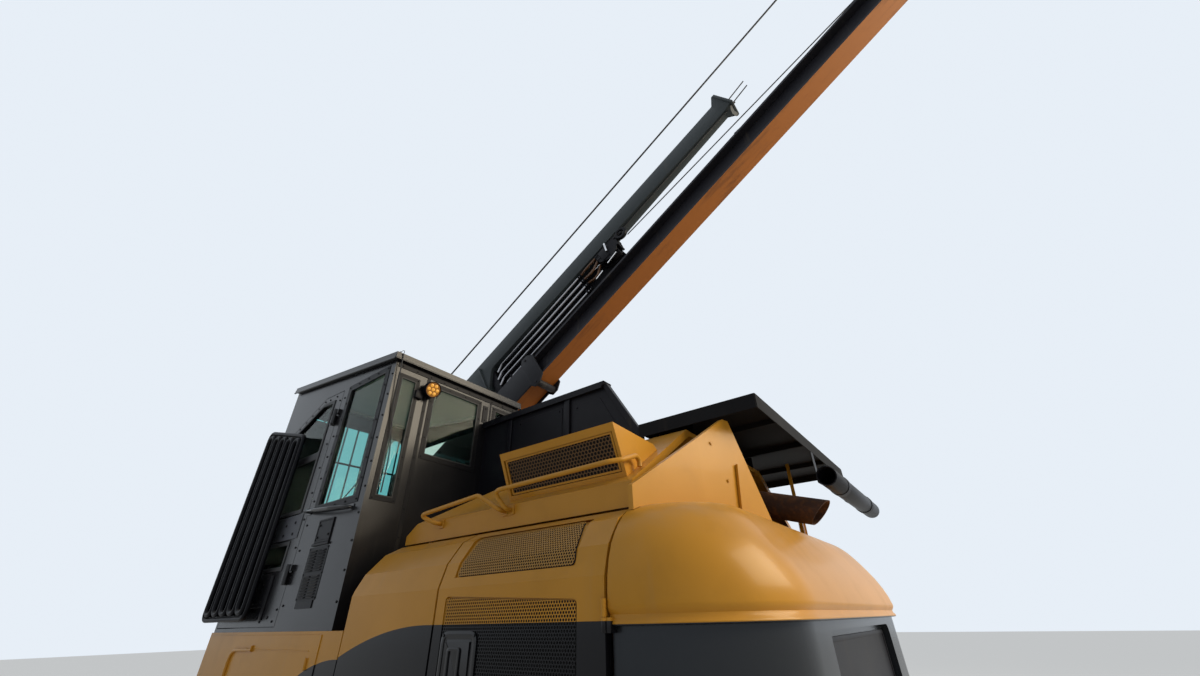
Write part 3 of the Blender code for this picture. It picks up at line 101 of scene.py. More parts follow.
def seen_pale(tree, lit, shown, share=1.0):
    """Mix a lit surface with a share of a plain pale one that only the eye, gloss and glass see."""
    path = tree.nodes.new("ShaderNodeLightPath")
    first = tree.nodes.new("ShaderNodeMath")
    first.operation = "MAXIMUM"
    tree.links.new(path.outputs["Is Camera Ray"], first.inputs[0])
    tree.links.new(path.outputs["Is Glossy Ray"], first.inputs[1])
    second = tree.nodes.new("ShaderNodeMath")
    second.operation = "MAXIMUM"
    tree.links.new(first.outputs[0], second.inputs[0])
    tree.links.new(path.outputs["Is Transmission Ray"], second.inputs[1])
    portion = tree.nodes.new("ShaderNodeMath")
    portion.operation = "MULTIPLY"
    portion.inputs[1].default_value = share
    tree.links.new(second.outputs[0], portion.inputs[0])
    mix = tree.nodes.new("ShaderNodeMixShader")
    tree.links.new(portion.outputs[0], mix.inputs[0])
    tree.links.new(lit, mix.inputs[1])
    tree.links.new(shown, mix.inputs[2])
    return mix.outputs[0]


def set_stage():
    """A plain pale floor and a pale sky round it."""
    scene = bpy.context.scene
    scene.view_settings.view_transform = "Standard"
    world = bpy.data.worlds.new("studio")
    world.use_nodes = True
    scene.world = world
    tree = world.node_tree
    lit = tree.nodes["Background"]
    lit.inputs["Color"].default_value = (0.93, 0.96, 1.0, 1.0)
    lit.inputs["Strength"].default_value = 0.32
    shown = tree.nodes.new("ShaderNodeBackground")
    shown.inputs["Color"].default_value = (0.80, 0.86, 0.93, 1.0)
    shown.inputs["Strength"].default_value = 1.0
    out = seen_pale(tree, lit.outputs[0], shown.outputs[0])
    tree.links.new(out, tree.nodes["World Output"].inputs["Surface"])

    bpy.ops.mesh.primitive_plane_add(size=FLOOR_SIZE, location=(0.0, 0.0, 0.0))
    floor = bpy.context.object
    floor.name = "floor"
    pale = bpy.data.materials.new("pale_floor")
    pale.use_nodes = True
    pale.node_tree.nodes["Principled BSDF"].inputs["Base Color"].default_value = (0.62, 0.62, 0.60, 1.0)
    pale.node_tree.nodes["Principled BSDF"].inputs["Roughness"].default_value = 0.85
    tree = pale.node_tree
    shown = tree.nodes.new("ShaderNodeEmission")
    shown.inputs["Color"].default_value = (0.74, 0.76, 0.77, 1.0)
    out = seen_pale(tree, tree.nodes["Principled BSDF"].outputs[0], shown.outputs[0], FLOOR_PALE)
    tree.links.new(out, tree.nodes["Material Output"].inputs["Surface"])
    floor.data.materials.append(pale)

    soft_lamp("rear_key", (-3.2, 11.0, 7.6), (0.0, 1.0, 2.0), (8.0, 5.0), 1150.0, (1.0, 0.86, 0.64))
    soft_lamp("left_fill", (9.5, -1.0, 7.5), (0.5, 0.0, 2.0), (7.0, 7.0), 45.0, (0.95, 0.97, 1.0))
    soft_lamp("front_fill", (-11.0, -8.0, 8.0), (0.0, -1.0, 2.0), (8.0, 6.0), 450.0)


# Finishes: each is one shader with layers laid over it

class Finish:
    """A finish in the making: a shader, and layers of wear, dust, pattern and painted light over it."""

    def __init__(self, name, colour, rough, metal=0.0, coat=0.0):
        self.material = bpy.data.materials.new(name)
        self.material.use_nodes = True
        self.tree = self.material.node_tree
        self.shader = self.tree.nodes["Principled BSDF"]
        self.now = {"Base Color": (*colour, 1.0), "Roughness": rough, "Metallic": metal}
        for socket, value in self.now.items():
            self.shader.inputs[socket].default_value = value
        self.shader.inputs["Coat Weight"].default_value = coat
        self.shader.inputs["Coat Roughness"].default_value = 0.06
        source = self.tree.nodes.new("ShaderNodeTexCoord")
        self.place = source.outputs["Object"]
        self.normal = source.outputs["Normal"]
        self.height = None

    def feed(self, socket, value):
        if isinstance(value, bpy.types.NodeSocket):
            self.tree.links.new(value, socket)
        else:
            socket.default_value = value

    def add(self, kind, **settings):
        made = self.tree.nodes.new(kind)
        for key, value in settings.items():
            setattr(made, key, value)
        return made

    def sum(self, kind, first, second=0.0, clamp=False):
        made = self.add("ShaderNodeMath", operation=kind, use_clamp=clamp)
        self.feed(made.inputs[0], first)
        self.feed(made.inputs[1], second)
        return made.outputs[0]

    def glow(self, colour, strength):
        self.shader.inputs["Emission Color"].default_value = (*colour, 1.0)
        self.shader.inputs["Emission Strength"].default_value = strength

    def stretched(self, stretch, turn=(0.0, 0.0, 0.0)):
        """The piece's own place, scaled to stretch a pattern."""
        made = self.add("ShaderNodeMapping")
        self.feed(made.inputs["Vector"], self.place)
        made.inputs["Scale"].default_value = stretch
        made.inputs["Rotation"].default_value = turn
        return made.outputs["Vector"]

    def noise(self, scale, detail=4.0, rough=0.55, place=None):
        made = self.add("ShaderNodeTexNoise")
        self.feed(made.inputs["Vector"], place or self.place)
        made.inputs["Scale"].default_value = scale
        made.inputs["Detail"].default_value = detail
        made.inputs["Roughness"].default_value = rough
        return made.outputs["Fac"]

    def wave(self, scale, way="DIAGONAL"):
        made = self.add("ShaderNodeTexWave", bands_direction=way)
        self.feed(made.inputs["Vector"], self.place)
        made.inputs["Scale"].default_value = scale
        return made.outputs["Fac"]

    def step(self, value, low, high, start=0.0, end=1.0):
        """A smooth change from start to end while a value goes from low to high."""
        made = self.add("ShaderNodeMapRange", interpolation_type="SMOOTHSTEP")
        self.feed(made.inputs["Value"], value)
        made.inputs["From Min"].default_value = low
        made.inputs["From Max"].default_value = high
        made.inputs["To Min"].default_value = start
        made.inputs["To Max"].default_value = end
        return made.outputs["Result"]

    def along(self, axis):
        """How far along X, Y or Z a point of the piece is."""
        made = self.add("ShaderNodeSeparateXYZ")
        self.feed(made.inputs[0], self.place)
        return made.outputs[axis]

    def facing(self, way):
        """How squarely the surface faces a way, from -1 to 1."""
        made = self.add("ShaderNodeVectorMath", operation="DOT_PRODUCT")
        self.feed(made.inputs[0], self.normal)
        made.inputs[1].default_value = way
        return made.outputs["Value"]

    def over(self, share, colour=None, rough=None, metal=None, shine=None):
        """Lay another look over the present one, by a share from 0 to 1."""
        layer = {
            "Base Color": colour and (*colour, 1.0), "Roughness": rough, "Metallic": metal,
            "Specular IOR Level": shine, "Coat Weight": shine and shine * 0.2,
        }
        for socket, value in layer.items():
            if value is None:
                continue
            paint = socket == "Base Color"
            made = self.add("ShaderNodeMix", data_type="RGBA" if paint else "FLOAT")
            first, second, out = (6, 7, 2) if paint else (2, 3, 0)
            self.feed(made.inputs[0], share)
            plain = self.shader.inputs[socket].default_value
            self.feed(made.inputs[first], self.now.get(socket) or plain)
            self.feed(made.inputs[second], value)
            self.now[socket] = made.outputs[out]
            self.tree.links.new(self.now[socket], self.shader.inputs[socket])
        return self

    def bump(self, height, depth):
        """Raise the surface by a pattern, this deep in metres."""
        made = self.add("ShaderNodeBump")
        made.inputs["Strength"].default_value = 1.0
        made.inputs["Distance"].default_value = depth
        self.feed(made.inputs["Height"], height)
        if self.height is not None:
            self.tree.links.new(self.height, made.inputs["Normal"])
        self.height = made.outputs["Normal"]
        self.tree.links.new(self.height, self.shader.inputs["Normal"])
        return self


YELLOW = (0.55, 0.262, 0.026)
BLACK = (0.006, 0.006, 0.008)
DUST = (0.30, 0.25, 0.18)


def enamel(name, colour, rough=0.30, dust=0.5, coat=0.05, shine=0.17):
    """Sprayed machine paint: slight fading, fine orange peel and settled dust."""
    made = Finish(name, colour, rough, coat=coat)
    made.shader.inputs["Specular IOR Level"].default_value = shine
    faded = tuple(min(1.0, c * 1.22 + 0.015) for c in colour)
    deep = tuple(c * 0.80 for c in colour)
    made.over(made.step(made.noise(1.3, 3.0), 0.45, 0.75, 0.0, 0.5), colour=faded)
    made.over(made.step(made.noise(4.0, 5.0), 0.52, 0.75, 0.0, 0.35), colour=deep, rough=rough + 0.08)
    streaks = made.noise(7.0, 4.0, place=made.stretched((1.0, 1.0, 0.12)))
    made.over(made.step(streaks, 0.60, 0.80, 0.0, 0.22 * dust), colour=DUST, rough=0.7)
    level = made.step(made.facing((0.0, 0.0, 1.0)), 0.45, 0.95)
    settled = made.sum("MULTIPLY", level, made.step(made.noise(9.0, 6.0), 0.35, 0.70, 0.0, 0.55 * dust))
    made.over(settled, colour=DUST, rough=0.75)
    made.bump(made.noise(420.0, 1.0), 0.00006)
    return made


def stripe_share(made, front_y=STRIPE_FRONT_Y, height=STRIPE_Z, bend=STRIPE_FALL):
    """1 below the paint line, which falls away in a curve ahead of a place along Y."""
    ahead = made.sum("MAXIMUM", made.sum("SUBTRACT", front_y, made.along("Y")), 0.0)
    fall = made.sum("MULTIPLY", made.sum("MULTIPLY", ahead, ahead), bend)
    edge = made.sum("SUBTRACT", height, fall)
    return made.step(made.sum("SUBTRACT", edge, made.along("Z")), -STRIPE_EDGE, STRIPE_EDGE)


def beam_height(made):
    """How far a point of the boom lies square to the beam, from its pivot."""
    height = made.add("ShaderNodeVectorMath", operation="DOT_PRODUCT")
    made.feed(height.inputs[0], made.place)
    height.inputs[1].default_value = (0.0, -BEAM_DOWN[1], -BEAM_DOWN[2])
    pivot = -BOOM_PIVOT.y * BEAM_DOWN[1] - BOOM_PIVOT.z * BEAM_DOWN[2]
    return made.sum("SUBTRACT", height.outputs["Value"], pivot)


def make_finishes():
    done = {}
    done["yellow"] = enamel("yellow_enamel", YELLOW)
    striped = enamel("striped_enamel", YELLOW)
    striped.over(stripe_share(striped), colour=BLACK, rough=0.24, shine=0.20)
    done["striped"] = striped
    base = enamel("base_enamel", YELLOW)
    base_line = stripe_share(base, BASE_STRIPE_FRONT_Y, BASE_STRIPE_Z, BASE_STRIPE_FALL)
    base.over(base_line, colour=BLACK, rough=0.24, shine=0.20)
    done["base"] = base
    band = enamel("weight_enamel", YELLOW)
    low = band.step(band.along("Z"), WEIGHT_LIP - 0.0135, WEIGHT_LIP - 0.0125, 1.0, 0.0)
    band.over(low, colour=(0.030, 0.034, 0.040), rough=0.24, metal=0.35)
    done["weight"] = band
    done["cab"] = enamel("cab_enamel", (0.012, 0.012, 0.014), 0.24, 0.35, 0.0, 0.32)
    done["cab_trim"] = enamel("cab_trim_black", (0.011, 0.011, 0.013), 0.42, 0.5, 0.0, 0.12)
    done["satin"] = enamel("satin_black", (0.007, 0.007, 0.010), 0.42, 0.4, 0.0, 0.11)
    done["guard"] = enamel("guard_black", (0.004, 0.004, 0.006), 0.42, 0.3, 0.0, 0.09)
    done["matte_black"] = enamel("canopy_black", (0.006, 0.006, 0.007), 0.70, 0.3, 0.0, 0.12)
    done["dull_grey"] = enamel("dull_grey", (0.085, 0.090, 0.105), 0.55, 0.4, 0.0, 0.3)
    done["chassis"] = enamel("chassis_black", (0.020, 0.019, 0.018), 0.5, 1.0)
    chassis = done["chassis"]
    mud = chassis.step(chassis.noise(6.0, 7.0), 0.45, 0.68, 0.0, 0.75)
    chassis.over(mud, colour=(0.19, 0.135, 0.085), rough=0.9)

    shoes = Finish("track_steel", (0.095, 0.082, 0.070), 0.55, 0.75)
    shoes.over(shoes.step(shoes.noise(14.0, 6.0), 0.42, 0.66), colour=(0.17, 0.085, 0.040), rough=0.85, metal=0.1)
    shoes.over(
        shoes.step(shoes.noise(5.0, 7.0), 0.50, 0.70, 0.0, 0.8), colour=(0.21, 0.155, 0.10), rough=0.95,
        metal=0.0,
    )
    shoes.bump(shoes.noise(60.0, 6.0), 0.0012)
    done["track"] = shoes

    steel = Finish("worn_steel", (0.20, 0.19, 0.18), 0.42, 0.85)
    steel.over(steel.step(steel.noise(22.0, 6.0), 0.50, 0.72), colour=(0.13, 0.075, 0.045), rough=0.8, metal=0.3)
    steel.bump(steel.noise(90.0, 4.0), 0.0004)
    done["steel"] = steel

    beam = enamel("beam_grey", (0.020, 0.020, 0.026), 0.50, 0.6, 0.0, 0.20)
    # the lowest, downward face turns orange: partly rust where the rollers run, partly painted sunlight, the warm light
    # of the low sun behind the machine
    lowest = beam.step(beam_height(beam), 0.494, 0.500, 1.0, 0.0)
    under = beam.sum("MULTIPLY", lowest, beam.step(beam.facing(BEAM_DOWN), 0.90, 0.98))
    beam.over(under, colour=(0.34, 0.118, 0.024), rough=0.60)
    grain = beam.noise(3.0, 7.0, 0.65, beam.stretched((3.0, 0.5, 0.5)))
    beam.over(
        beam.sum("MULTIPLY", under, beam.step(grain, 0.52, 0.70, 0.0, 0.65)), colour=(0.16, 0.060, 0.022),
        rough=0.7,
    )
    beam.bump(beam.noise(45.0, 5.0), 0.0003)
    done["beam"] = beam
    done["cradle"] = enamel("cradle_grey", (0.017, 0.017, 0.021), 0.50, 0.6, 0.0, 0.16)
    done["hose_beam"] = enamel("hose_beam_grey", (0.038, 0.048, 0.052), 0.48, 0.5, 0.0, 0.25)

    rust = Finish("exhaust_rust", (0.060, 0.024, 0.012), 0.70, 0.3)
    rust.over(rust.step(rust.noise(30.0, 7.0), 0.46, 0.70, 0.0, 0.8), colour=(0.15, 0.060, 0.022), rough=0.9)
    rust.over(rust.step(rust.noise(8.0, 4.0), 0.55, 0.75), colour=(0.05, 0.035, 0.03), rough=0.6)
    rust.bump(rust.noise(160.0, 5.0), 0.0008)
    done["rust"] = rust

    chrome = Finish("rod_chrome", (0.72, 0.72, 0.73), 0.08, 1.0)
    chrome.over(chrome.step(chrome.noise(12.0, 5.0), 0.62, 0.80, 0.0, 0.5), colour=(0.45, 0.42, 0.38), rough=0.3)
    done["chrome"] = chrome

    rubber = Finish("black_rubber", (0.014, 0.014, 0.015), 0.55)
    rubber.over(rubber.step(rubber.noise(20.0, 5.0), 0.50, 0.75, 0.0, 0.4), colour=(0.05, 0.046, 0.04), rough=0.8)
    done["rubber"] = rubber

    for key, name, tint in (
        ("glass", "tinted_glass", (0.72, 0.84, 0.76)), ("glass_dark", "windscreen_glass", (0.20, 0.56, 0.58)),
    ):
        glass = Finish(name, tint, 0.02)
        glass.shader.inputs["Transmission Weight"].default_value = 1.0
        glass.shader.inputs["IOR"].default_value = 1.14
        glass.over(glass.step(glass.noise(3.0, 4.0), 0.45, 0.80, 0.02, 0.10), rough=0.35)
        done[key] = glass

    done["gloss_black"] = enamel("gloss_black", BLACK, 0.14, 0.3, 0.15, 0.30)
    lines = Finish("line_steel", (0.34, 0.34, 0.36), 0.16, 1.0)
    lines.over(lines.step(lines.noise(9.0, 3.0), 0.55, 0.75, 0.0, 0.6), colour=(0.10, 0.085, 0.075), rough=0.35)
    done["line_steel"] = lines
    rope = Finish("wire_rope", (0.030, 0.029, 0.030), 0.55, 0.6)
    lay = rope.wave(60.0)
    rope.over(rope.step(lay, 0.35, 0.75, 0.0, 0.7), colour=(0.085, 0.080, 0.075), rough=0.4)
    rope.bump(lay, 0.0012)
    done["wire_rope"] = rope
    tie = Finish("webbing", (0.50, 0.47, 0.40), 0.85)
    ribs = tie.wave(130.0, "X")
    tie.over(tie.step(ribs, 0.3, 0.7, 0.0, 0.6), colour=(0.36, 0.33, 0.27))
    tie.over(tie.step(tie.noise(30.0, 5.0), 0.55, 0.75, 0.0, 0.6), colour=(0.20, 0.16, 0.11))
    tie.bump(ribs, 0.0006)
    done["webbing"] = tie
    sheet_paint = enamel("mesh_yellow", (0.42, 0.23, 0.055), 0.40, 0.4)
    done["mesh_yellow"] = sheet_paint
    done["mesh_bronze"] = enamel("mesh_bronze", (0.15, 0.085, 0.035), 0.45, 0.6)
    # near-black matte sheet set just behind the grilles and the scoop's mesh: painted shade for the engine bay seen
    # through the holes
    done["hollow"] = Finish("painted_shade_inside", (0.006, 0.006, 0.006), 0.95)

    lens = Finish("amber_lens", (0.75, 0.34, 0.03), 0.12)
    lens.glow((1.0, 0.55, 0.10), 0.32)
    lens.bump(lens.noise(260.0, 1.0), 0.0004)
    done["amber"] = lens
    rim = Finish("amber_disc", (0.30, 0.115, 0.010), 0.2)
    rim.over(rim.step(rim.noise(120.0, 2.0), 0.4, 0.7), colour=(0.20, 0.075, 0.008))
    rim.glow((1.0, 0.45, 0.05), 0.06)
    done["amber_disc"] = rim

    lining = Finish("roof_lining", (0.72, 0.70, 0.60), 0.95)
    lining.over(lining.step(lining.noise(160.0, 3.0), 0.4, 0.7, 0.0, 0.5), colour=(0.60, 0.58, 0.50))
    lining.over(lining.step(lining.noise(2.5, 3.0), 0.45, 0.75, 0.0, 0.4), colour=(0.52, 0.52, 0.47))
    lining.bump(lining.noise(300.0, 2.0), 0.0006)
    done["lining"] = lining
    panel_paint = Finish("cab_plastic", (0.045, 0.048, 0.050), 0.6)
    panel_paint.over(panel_paint.step(panel_paint.noise(6.0, 4.0), 0.45, 0.75, 0.0, 0.5), colour=(0.070, 0.070, 0.068))
    panel_paint.bump(panel_paint.noise(500.0, 1.0), 0.0003)
    done["plastic"] = panel_paint
    hose = Finish("hose_brown", (0.060, 0.030, 0.014), 0.38)
    wrap = hose.wave(45.0)
    hose.over(hose.step(wrap, 0.4, 0.8, 0.0, 0.6), colour=(0.34, 0.14, 0.045), rough=0.5)
    hose.bump(wrap, 0.0006)
    done["hose_brown"] = hose

    cloth = Finish("seat_cloth", (0.030, 0.031, 0.034), 0.9)
    weave = cloth.wave(160.0)
    cloth.over(cloth.step(weave, 0.3, 0.7, 0.0, 0.5), colour=(0.060, 0.062, 0.068))
    cloth.shader.inputs["Sheen Weight"].default_value = 0.3
    cloth.bump(weave, 0.0005)
    done["cloth"] = cloth
    return {key: value.material for key, value in done.items()}


FINISH = make_finishes()

# CAD node name starts, and the finish each carries
NODE_FINISH = [
    ("track_frame", "chassis"), ("track_", "track"), ("sprocket", "steel"), ("idler", "steel"),
    ("carbody", "chassis"), ("slew_ring", "steel"), ("deck", "chassis"), ("cab_base", "base"),
    ("tank", "yellow"), ("boom_tower", "satin"), ("cab_glass", "glass"), ("cab_windshield", "glass_dark"),
    ("door_glass", "glass"), ("cab_", "cab"), ("door_guard", "satin"), ("seat", "cloth"),
    ("front_panel", "striped"), ("engine_door", "striped"), ("hood", "yellow"), ("intake_scoop", "yellow"),
    ("engine_block", "steel"), ("counterweight", "weight"), ("rear_wall", "yellow"), ("tunnel_wall", "satin"),
    ("canopy", "satin"), ("rest_tube", "satin"), ("exhaust", "rust"), ("handrail", "yellow"),
    ("boom_cradle", "hose_beam"), ("hose_beam", "hose_beam"), ("hose_trolley", "steel"), ("stroke_beam", "beam"),
    ("delimbing_head", "hose_beam"), ("knife", "steel"), ("hold_arm", "steel"), ("tilt_barrels", "satin"),
    ("tilt_rods", "chrome"), ("work_light", "amber"),
]


def paint_nodes():
    for name, node in NODES.items():
        for start, finish in NODE_FINISH:
            if name.startswith(start):
                node.data.materials.clear()
                node.data.materials.append(FINISH[finish])
                break


# Making and shaping pieces

# points nearer than this are one point
MERGED = 0.00002


def none_picked():
    bpy.ops.object.select_all(action="DESELECT")


def alone(piece):
    """Select one piece and nothing else, in object mode."""
    if bpy.context.mode != "OBJECT":
        bpy.ops.object.mode_set(mode="OBJECT")
    none_picked()
    piece.select_set(True)
    bpy.context.view_layer.objects.active = piece


def seated(piece):
    """Put a piece's place into its mesh."""
    alone(piece)
    bpy.ops.object.transform_apply(location=True, rotation=True, scale=True)
    return piece


def block(low, high):
    """A squared bar between two corners."""
    low, high = Vector(low), Vector(high)
    none_picked()
    bpy.ops.mesh.primitive_cube_add(size=1.0, location=(low + high) / 2)
    made = bpy.context.object
    made.scale = high - low
    return seated(made)


def rod(start, end, radius, sides=24):
    """A round bar from one point to another."""
    start, end = Vector(start), Vector(end)
    run = end - start
    none_picked()
    bpy.ops.mesh.primitive_cylinder_add(vertices=sides, radius=radius, depth=run.length)
    made = bpy.context.object
    made.matrix_world = Matrix.Translation((start + end) / 2) @ run.to_track_quat("Z", "Y").to_matrix().to_4x4()
    return seated(made)


def pick(piece, kind, test):
    """In edit mode, select only the faces (centre, normal), edges (ends) or points that pass a test."""
    alone(piece)
    bpy.ops.object.mode_set(mode="EDIT")
    bpy.ops.mesh.select_mode(type=kind)
    bpy.ops.mesh.select_all(action="DESELECT")
    bpy.ops.object.mode_set(mode="OBJECT")
    mesh = piece.data
    if kind == "FACE":
        for face in mesh.polygons:
            face.select = test(face.center, face.normal)
    elif kind == "EDGE":
        for edge in mesh.edges:
            edge.select = test(*(mesh.vertices[i].co for i in edge.vertices))
    else:
        for point in mesh.vertices:
            point.select = test(point.co)
    bpy.ops.object.mode_set(mode="EDIT")


def whole(piece):
    pick(piece, "VERT", lambda place: True)


def back_to_object():
    bpy.ops.object.mode_set(mode="OBJECT")


def drawn_out(move):
    """Extrude what is selected in edit mode."""
    bpy.ops.mesh.extrude_region_move(TRANSFORM_OT_translate={"value": move})


def faced_out(piece):
    """Turn all of a piece's faces outwards."""
    whole(piece)
    bpy.ops.mesh.normals_make_consistent(inside=False)
    back_to_object()


def rimmed(piece, width):
    """Leave only a rim this wide of each face, in edit mode."""
    pick(piece, "FACE", lambda centre, normal: True)
    bpy.ops.mesh.inset(thickness=width)
    bpy.ops.mesh.delete(type="FACE")


def apply_all(piece):
    """Make a piece's modifiers part of its mesh."""
    alone(piece)
    for change in list(piece.modifiers):
        bpy.ops.object.modifier_apply(modifier=change.name)
    return piece


def softened(piece, width, steps=2, angle=30):
    """Round off the sharp edges."""
    change = piece.modifiers.new("Soften", "BEVEL")
    change.width = width
    change.segments = steps
    change.limit_method = "ANGLE"
    change.angle_limit = radians(angle)
    change.use_clamp_overlap = True
    return apply_all(piece)


def bar(low, high, width, steps=2):
    """A squared bar with its edges rounded."""
    return softened(block(low, high), width, steps)


def pin(start, end, radius, sides, width, steps=2, angle=30):
    """A round bar with its edges rounded."""
    return softened(rod(start, end, radius, sides), width, steps, angle)


def thickened(piece, depth, offset=-1.0):
    """Give a sheet its thickness."""
    change = piece.modifiers.new("Wall", "SOLIDIFY")
    change.thickness = depth
    change.offset = offset
    change.use_even_offset = True
    return apply_all(piece)


def joined(pieces):
    """Several shapes made one object."""
    none_picked()
    for piece in pieces:
        piece.select_set(True)
    bpy.context.view_layer.objects.active = pieces[0]
    bpy.ops.object.join()
    return bpy.context.object


def repeated(model, places):
    """Copies of a shape, each with its own mesh, set down at places and joined; the model goes."""
    made = []
    for place in places:
        twin = model.copy()
        twin.data = model.data.copy()
        twin.matrix_world = place
        bpy.context.scene.collection.objects.link(twin)
        made.append(twin)
    bpy.data.objects.remove(model, do_unlink=True)
    return seated(joined(made))


def settle(piece, name, finish, body, angle=30):
    """Name and finish a piece, smooth its round faces and let it ride on a body, if it has one alone."""
    alone(piece)
    bpy.ops.object.shade_smooth_by_angle(angle=radians(angle))
    piece.name = name
    piece.data.name = name
    piece.data.materials.clear()
    piece.data.materials.append(FINISH[finish])
    if body:
        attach(piece, body)
    return piece


# How an outline's two numbers and the drawn-out third lie in space
PLANE = {
    "X": lambda a, b, c: Vector((c, a, b)),
    "Y": lambda a, b, c: Vector((a, c, b)),
    "Z": lambda a, b, c: Vector((a, b, c)),
}


def sheet(outline, axis, at):
    """A flat filled outline: (y, z), (x, z) or (x, y) points at a place along an axis."""
    none_picked()
    bpy.ops.mesh.primitive_circle_add(vertices=len(outline), fill_type="NGON")
    made = bpy.context.object
    for point, (a, b) in zip(made.data.vertices, outline):
        point.co = PLANE[axis](a, b, at)
    return made


def profile(outline, axis, low, high):
    """An outline drawn out from one place to another along an axis."""
    made = sheet(outline, axis, low)
    whole(made)
    drawn_out(PLANE[axis](0.0, 0.0, high - low))
    faced_out(made)
    return made


def rounded(corners, radius, steps=5):
    """A closed outline with arcs in place of its corners; a corner may give its own radius."""
    made = []
    count = len(corners)
    for i, corner in enumerate(corners):
        here = Vector(corner[:2])
        size = corner[2] if len(corner) > 2 else radius
        before = Vector(corners[i - 1][:2]) - here
        after = Vector(corners[(i + 1) % count][:2]) - here
        if size <= 0.0:
            made.append(tuple(here))
            continue
        half = before.angle(after) / 2
        back = min(size / tan(half), before.length * 0.49, after.length * 0.49)
        start, end = here + before.normalized() * back, here + after.normalized() * back
        for k in range(steps + 1):
            t = k / steps
            made.append(tuple(start * (1 - t) ** 2 + here * 2 * t * (1 - t) + end * t ** 2))
    return made


def rectangle(low, high, radius=0.0, steps=5):
    corners = [(low[0], low[1]), (high[0], low[1]), (high[0], high[1]), (low[0], high[1])]
    return rounded(corners, radius, steps) if radius else corners


def bent(points, bend, steps=6):
    """A path through points with an arc at each bend."""
    points = [Vector(point) for point in points]
    made = [points[0]]
    for before, here, after in zip(points, points[1:], points[2:]):
        back, ahead = before - here, after - here
        half = back.angle(ahead) / 2
        reach = min(bend / tan(half), back.length * 0.48, ahead.length * 0.48)
        start, end = here + back.normalized() * reach, here + ahead.normalized() * reach
        for k in range(steps + 1):
            t = k / steps
            made.append(start * (1 - t) ** 2 + here * 2 * t * (1 - t) + end * t ** 2)
    return made + [points[-1]]


def tube_skin(points, radius, sides, closed=False, capped=True):
    """The skin of a round bar that follows points, as a mesh."""
    none_picked()
    bpy.ops.curve.primitive_bezier_curve_add()
    made = bpy.context.object
    curve = made.data
    curve.splines.clear()
    line = curve.splines.new("POLY")
    line.points.add(len(points) - 1)
    for point, place in zip(line.points, points):
        point.co = (*place, 1.0)
    line.use_cyclic_u = closed
    curve.dimensions = "3D"
    curve.bevel_depth = radius
    curve.bevel_resolution = sides
    curve.use_fill_caps = capped
    bpy.ops.object.convert(target="MESH")
    made = bpy.context.object
    whole(made)
    bpy.ops.mesh.remove_doubles(threshold=MERGED)
    back_to_object()
    return made


def tube(points, radius, sides=4, closed=False):
    """A round bar that follows points, its ends closed."""
    made = tube_skin(points, radius, sides, closed)
    faced_out(made)
    return made


def flowing(spots, count):
    """A smooth run of points through a few spots."""
    spots = [Vector(spot) for spot in spots]
    ends = [spots[0] * 2 - spots[1]] + spots + [spots[-1] * 2 - spots[-2]]
    points = []
    for i in range(count + 1):
        far = i / count * (len(spots) - 1)
        k = min(int(far), len(spots) - 2)
        t = far - k
        a, b, c, d = ends[k:k + 4]
        points.append(
            0.5 * (b * 2 + (c - a) * t + (a * 2 - b * 5 + c * 4 - d) * t ** 2 + (b * 3 - a - c * 3 + d) * t ** 3)
        )
    return points


def stuffed(piece, cap, voxel=0.008):
    """Swell a closed form as its filling would, no point farther than the cap."""
    scene = bpy.context.scene
    change = piece.modifiers.new("Even", "REMESH")
    change.mode = "VOXEL"
    change.voxel_size = voxel
    apply_all(piece)
    before = [point.co.copy() for point in piece.data.vertices]
    fill = piece.modifiers.new("Fill", "CLOTH")
    fill.settings.use_pressure = True
    fill.settings.uniform_pressure_force = 4.0
    fill.settings.effector_weights.gravity = 0.0
    fill.point_cache.frame_start, fill.point_cache.frame_end = 1, 20
    for number in range(1, 21):
        scene.frame_set(number)
    apply_all(piece)
    scene.frame_set(1)
    for point, start in zip(piece.data.vertices, before):
        move = point.co - start
        if move.length > cap:
            point.co = start + move.normalized() * cap
    change = piece.modifiers.new("Round", "SUBSURF")
    change.levels = change.render_levels = 1
    return apply_all(piece)


def ring(outline, width, axis, at, depth, way=1.0):
    """A flat bar all round an outline, this wide inwards and this thick along the axis."""
    made = sheet(outline, axis, at)
    rimmed(made, width)
    faced_out(made)
    thickened(made, depth, 0.0)
    for point in made.data.vertices:
        point.co += PLANE[axis](0.0, 0.0, way * depth / 2)
    return made


def bolt_head(radius, height):
    """A six-sided head with a washer, seated on z = 0 and pointing up."""
    none_picked()
    bpy.ops.mesh.primitive_circle_add(vertices=12, radius=radius * 1.35, fill_type="NGON")
    washer = bpy.context.object
    whole(washer)
    drawn_out((0.0, 0.0, height * 0.22))
    back_to_object()
    bpy.ops.mesh.primitive_circle_add(
        vertices=6, radius=radius, fill_type="NGON", location=(0.0, 0.0, height * 0.2)
    )
    head = bpy.context.object
    whole(head)
    drawn_out((0.0, 0.0, height * 0.8))
    pick(head, "FACE", lambda centre, normal: centre.z > height * 0.7)
    bpy.ops.mesh.bevel(offset=radius * 0.12, segments=1, affect="EDGES")
    back_to_object()
    made = seated(joined([washer, head]))
    faced_out(made)
    return made


def facing(place, way):
    """The place of a small part that stands on a surface facing a way."""
    return Matrix.Translation(place) @ Vector(way).to_track_quat("Z", "Y").to_matrix().to_4x4()


def bolts(places, way, radius=0.009, height=0.008):
    """Bolt heads at places on a surface that faces a way."""
    return repeated(bolt_head(radius, height), [facing(place, way) for place in places])


def line_up(start, end, count):
    start, end = Vector(start), Vector(end)
    return [start.lerp(end, k / (count - 1)) for k in range(count)]


# Counterweight: a smooth cast dome over a dark band

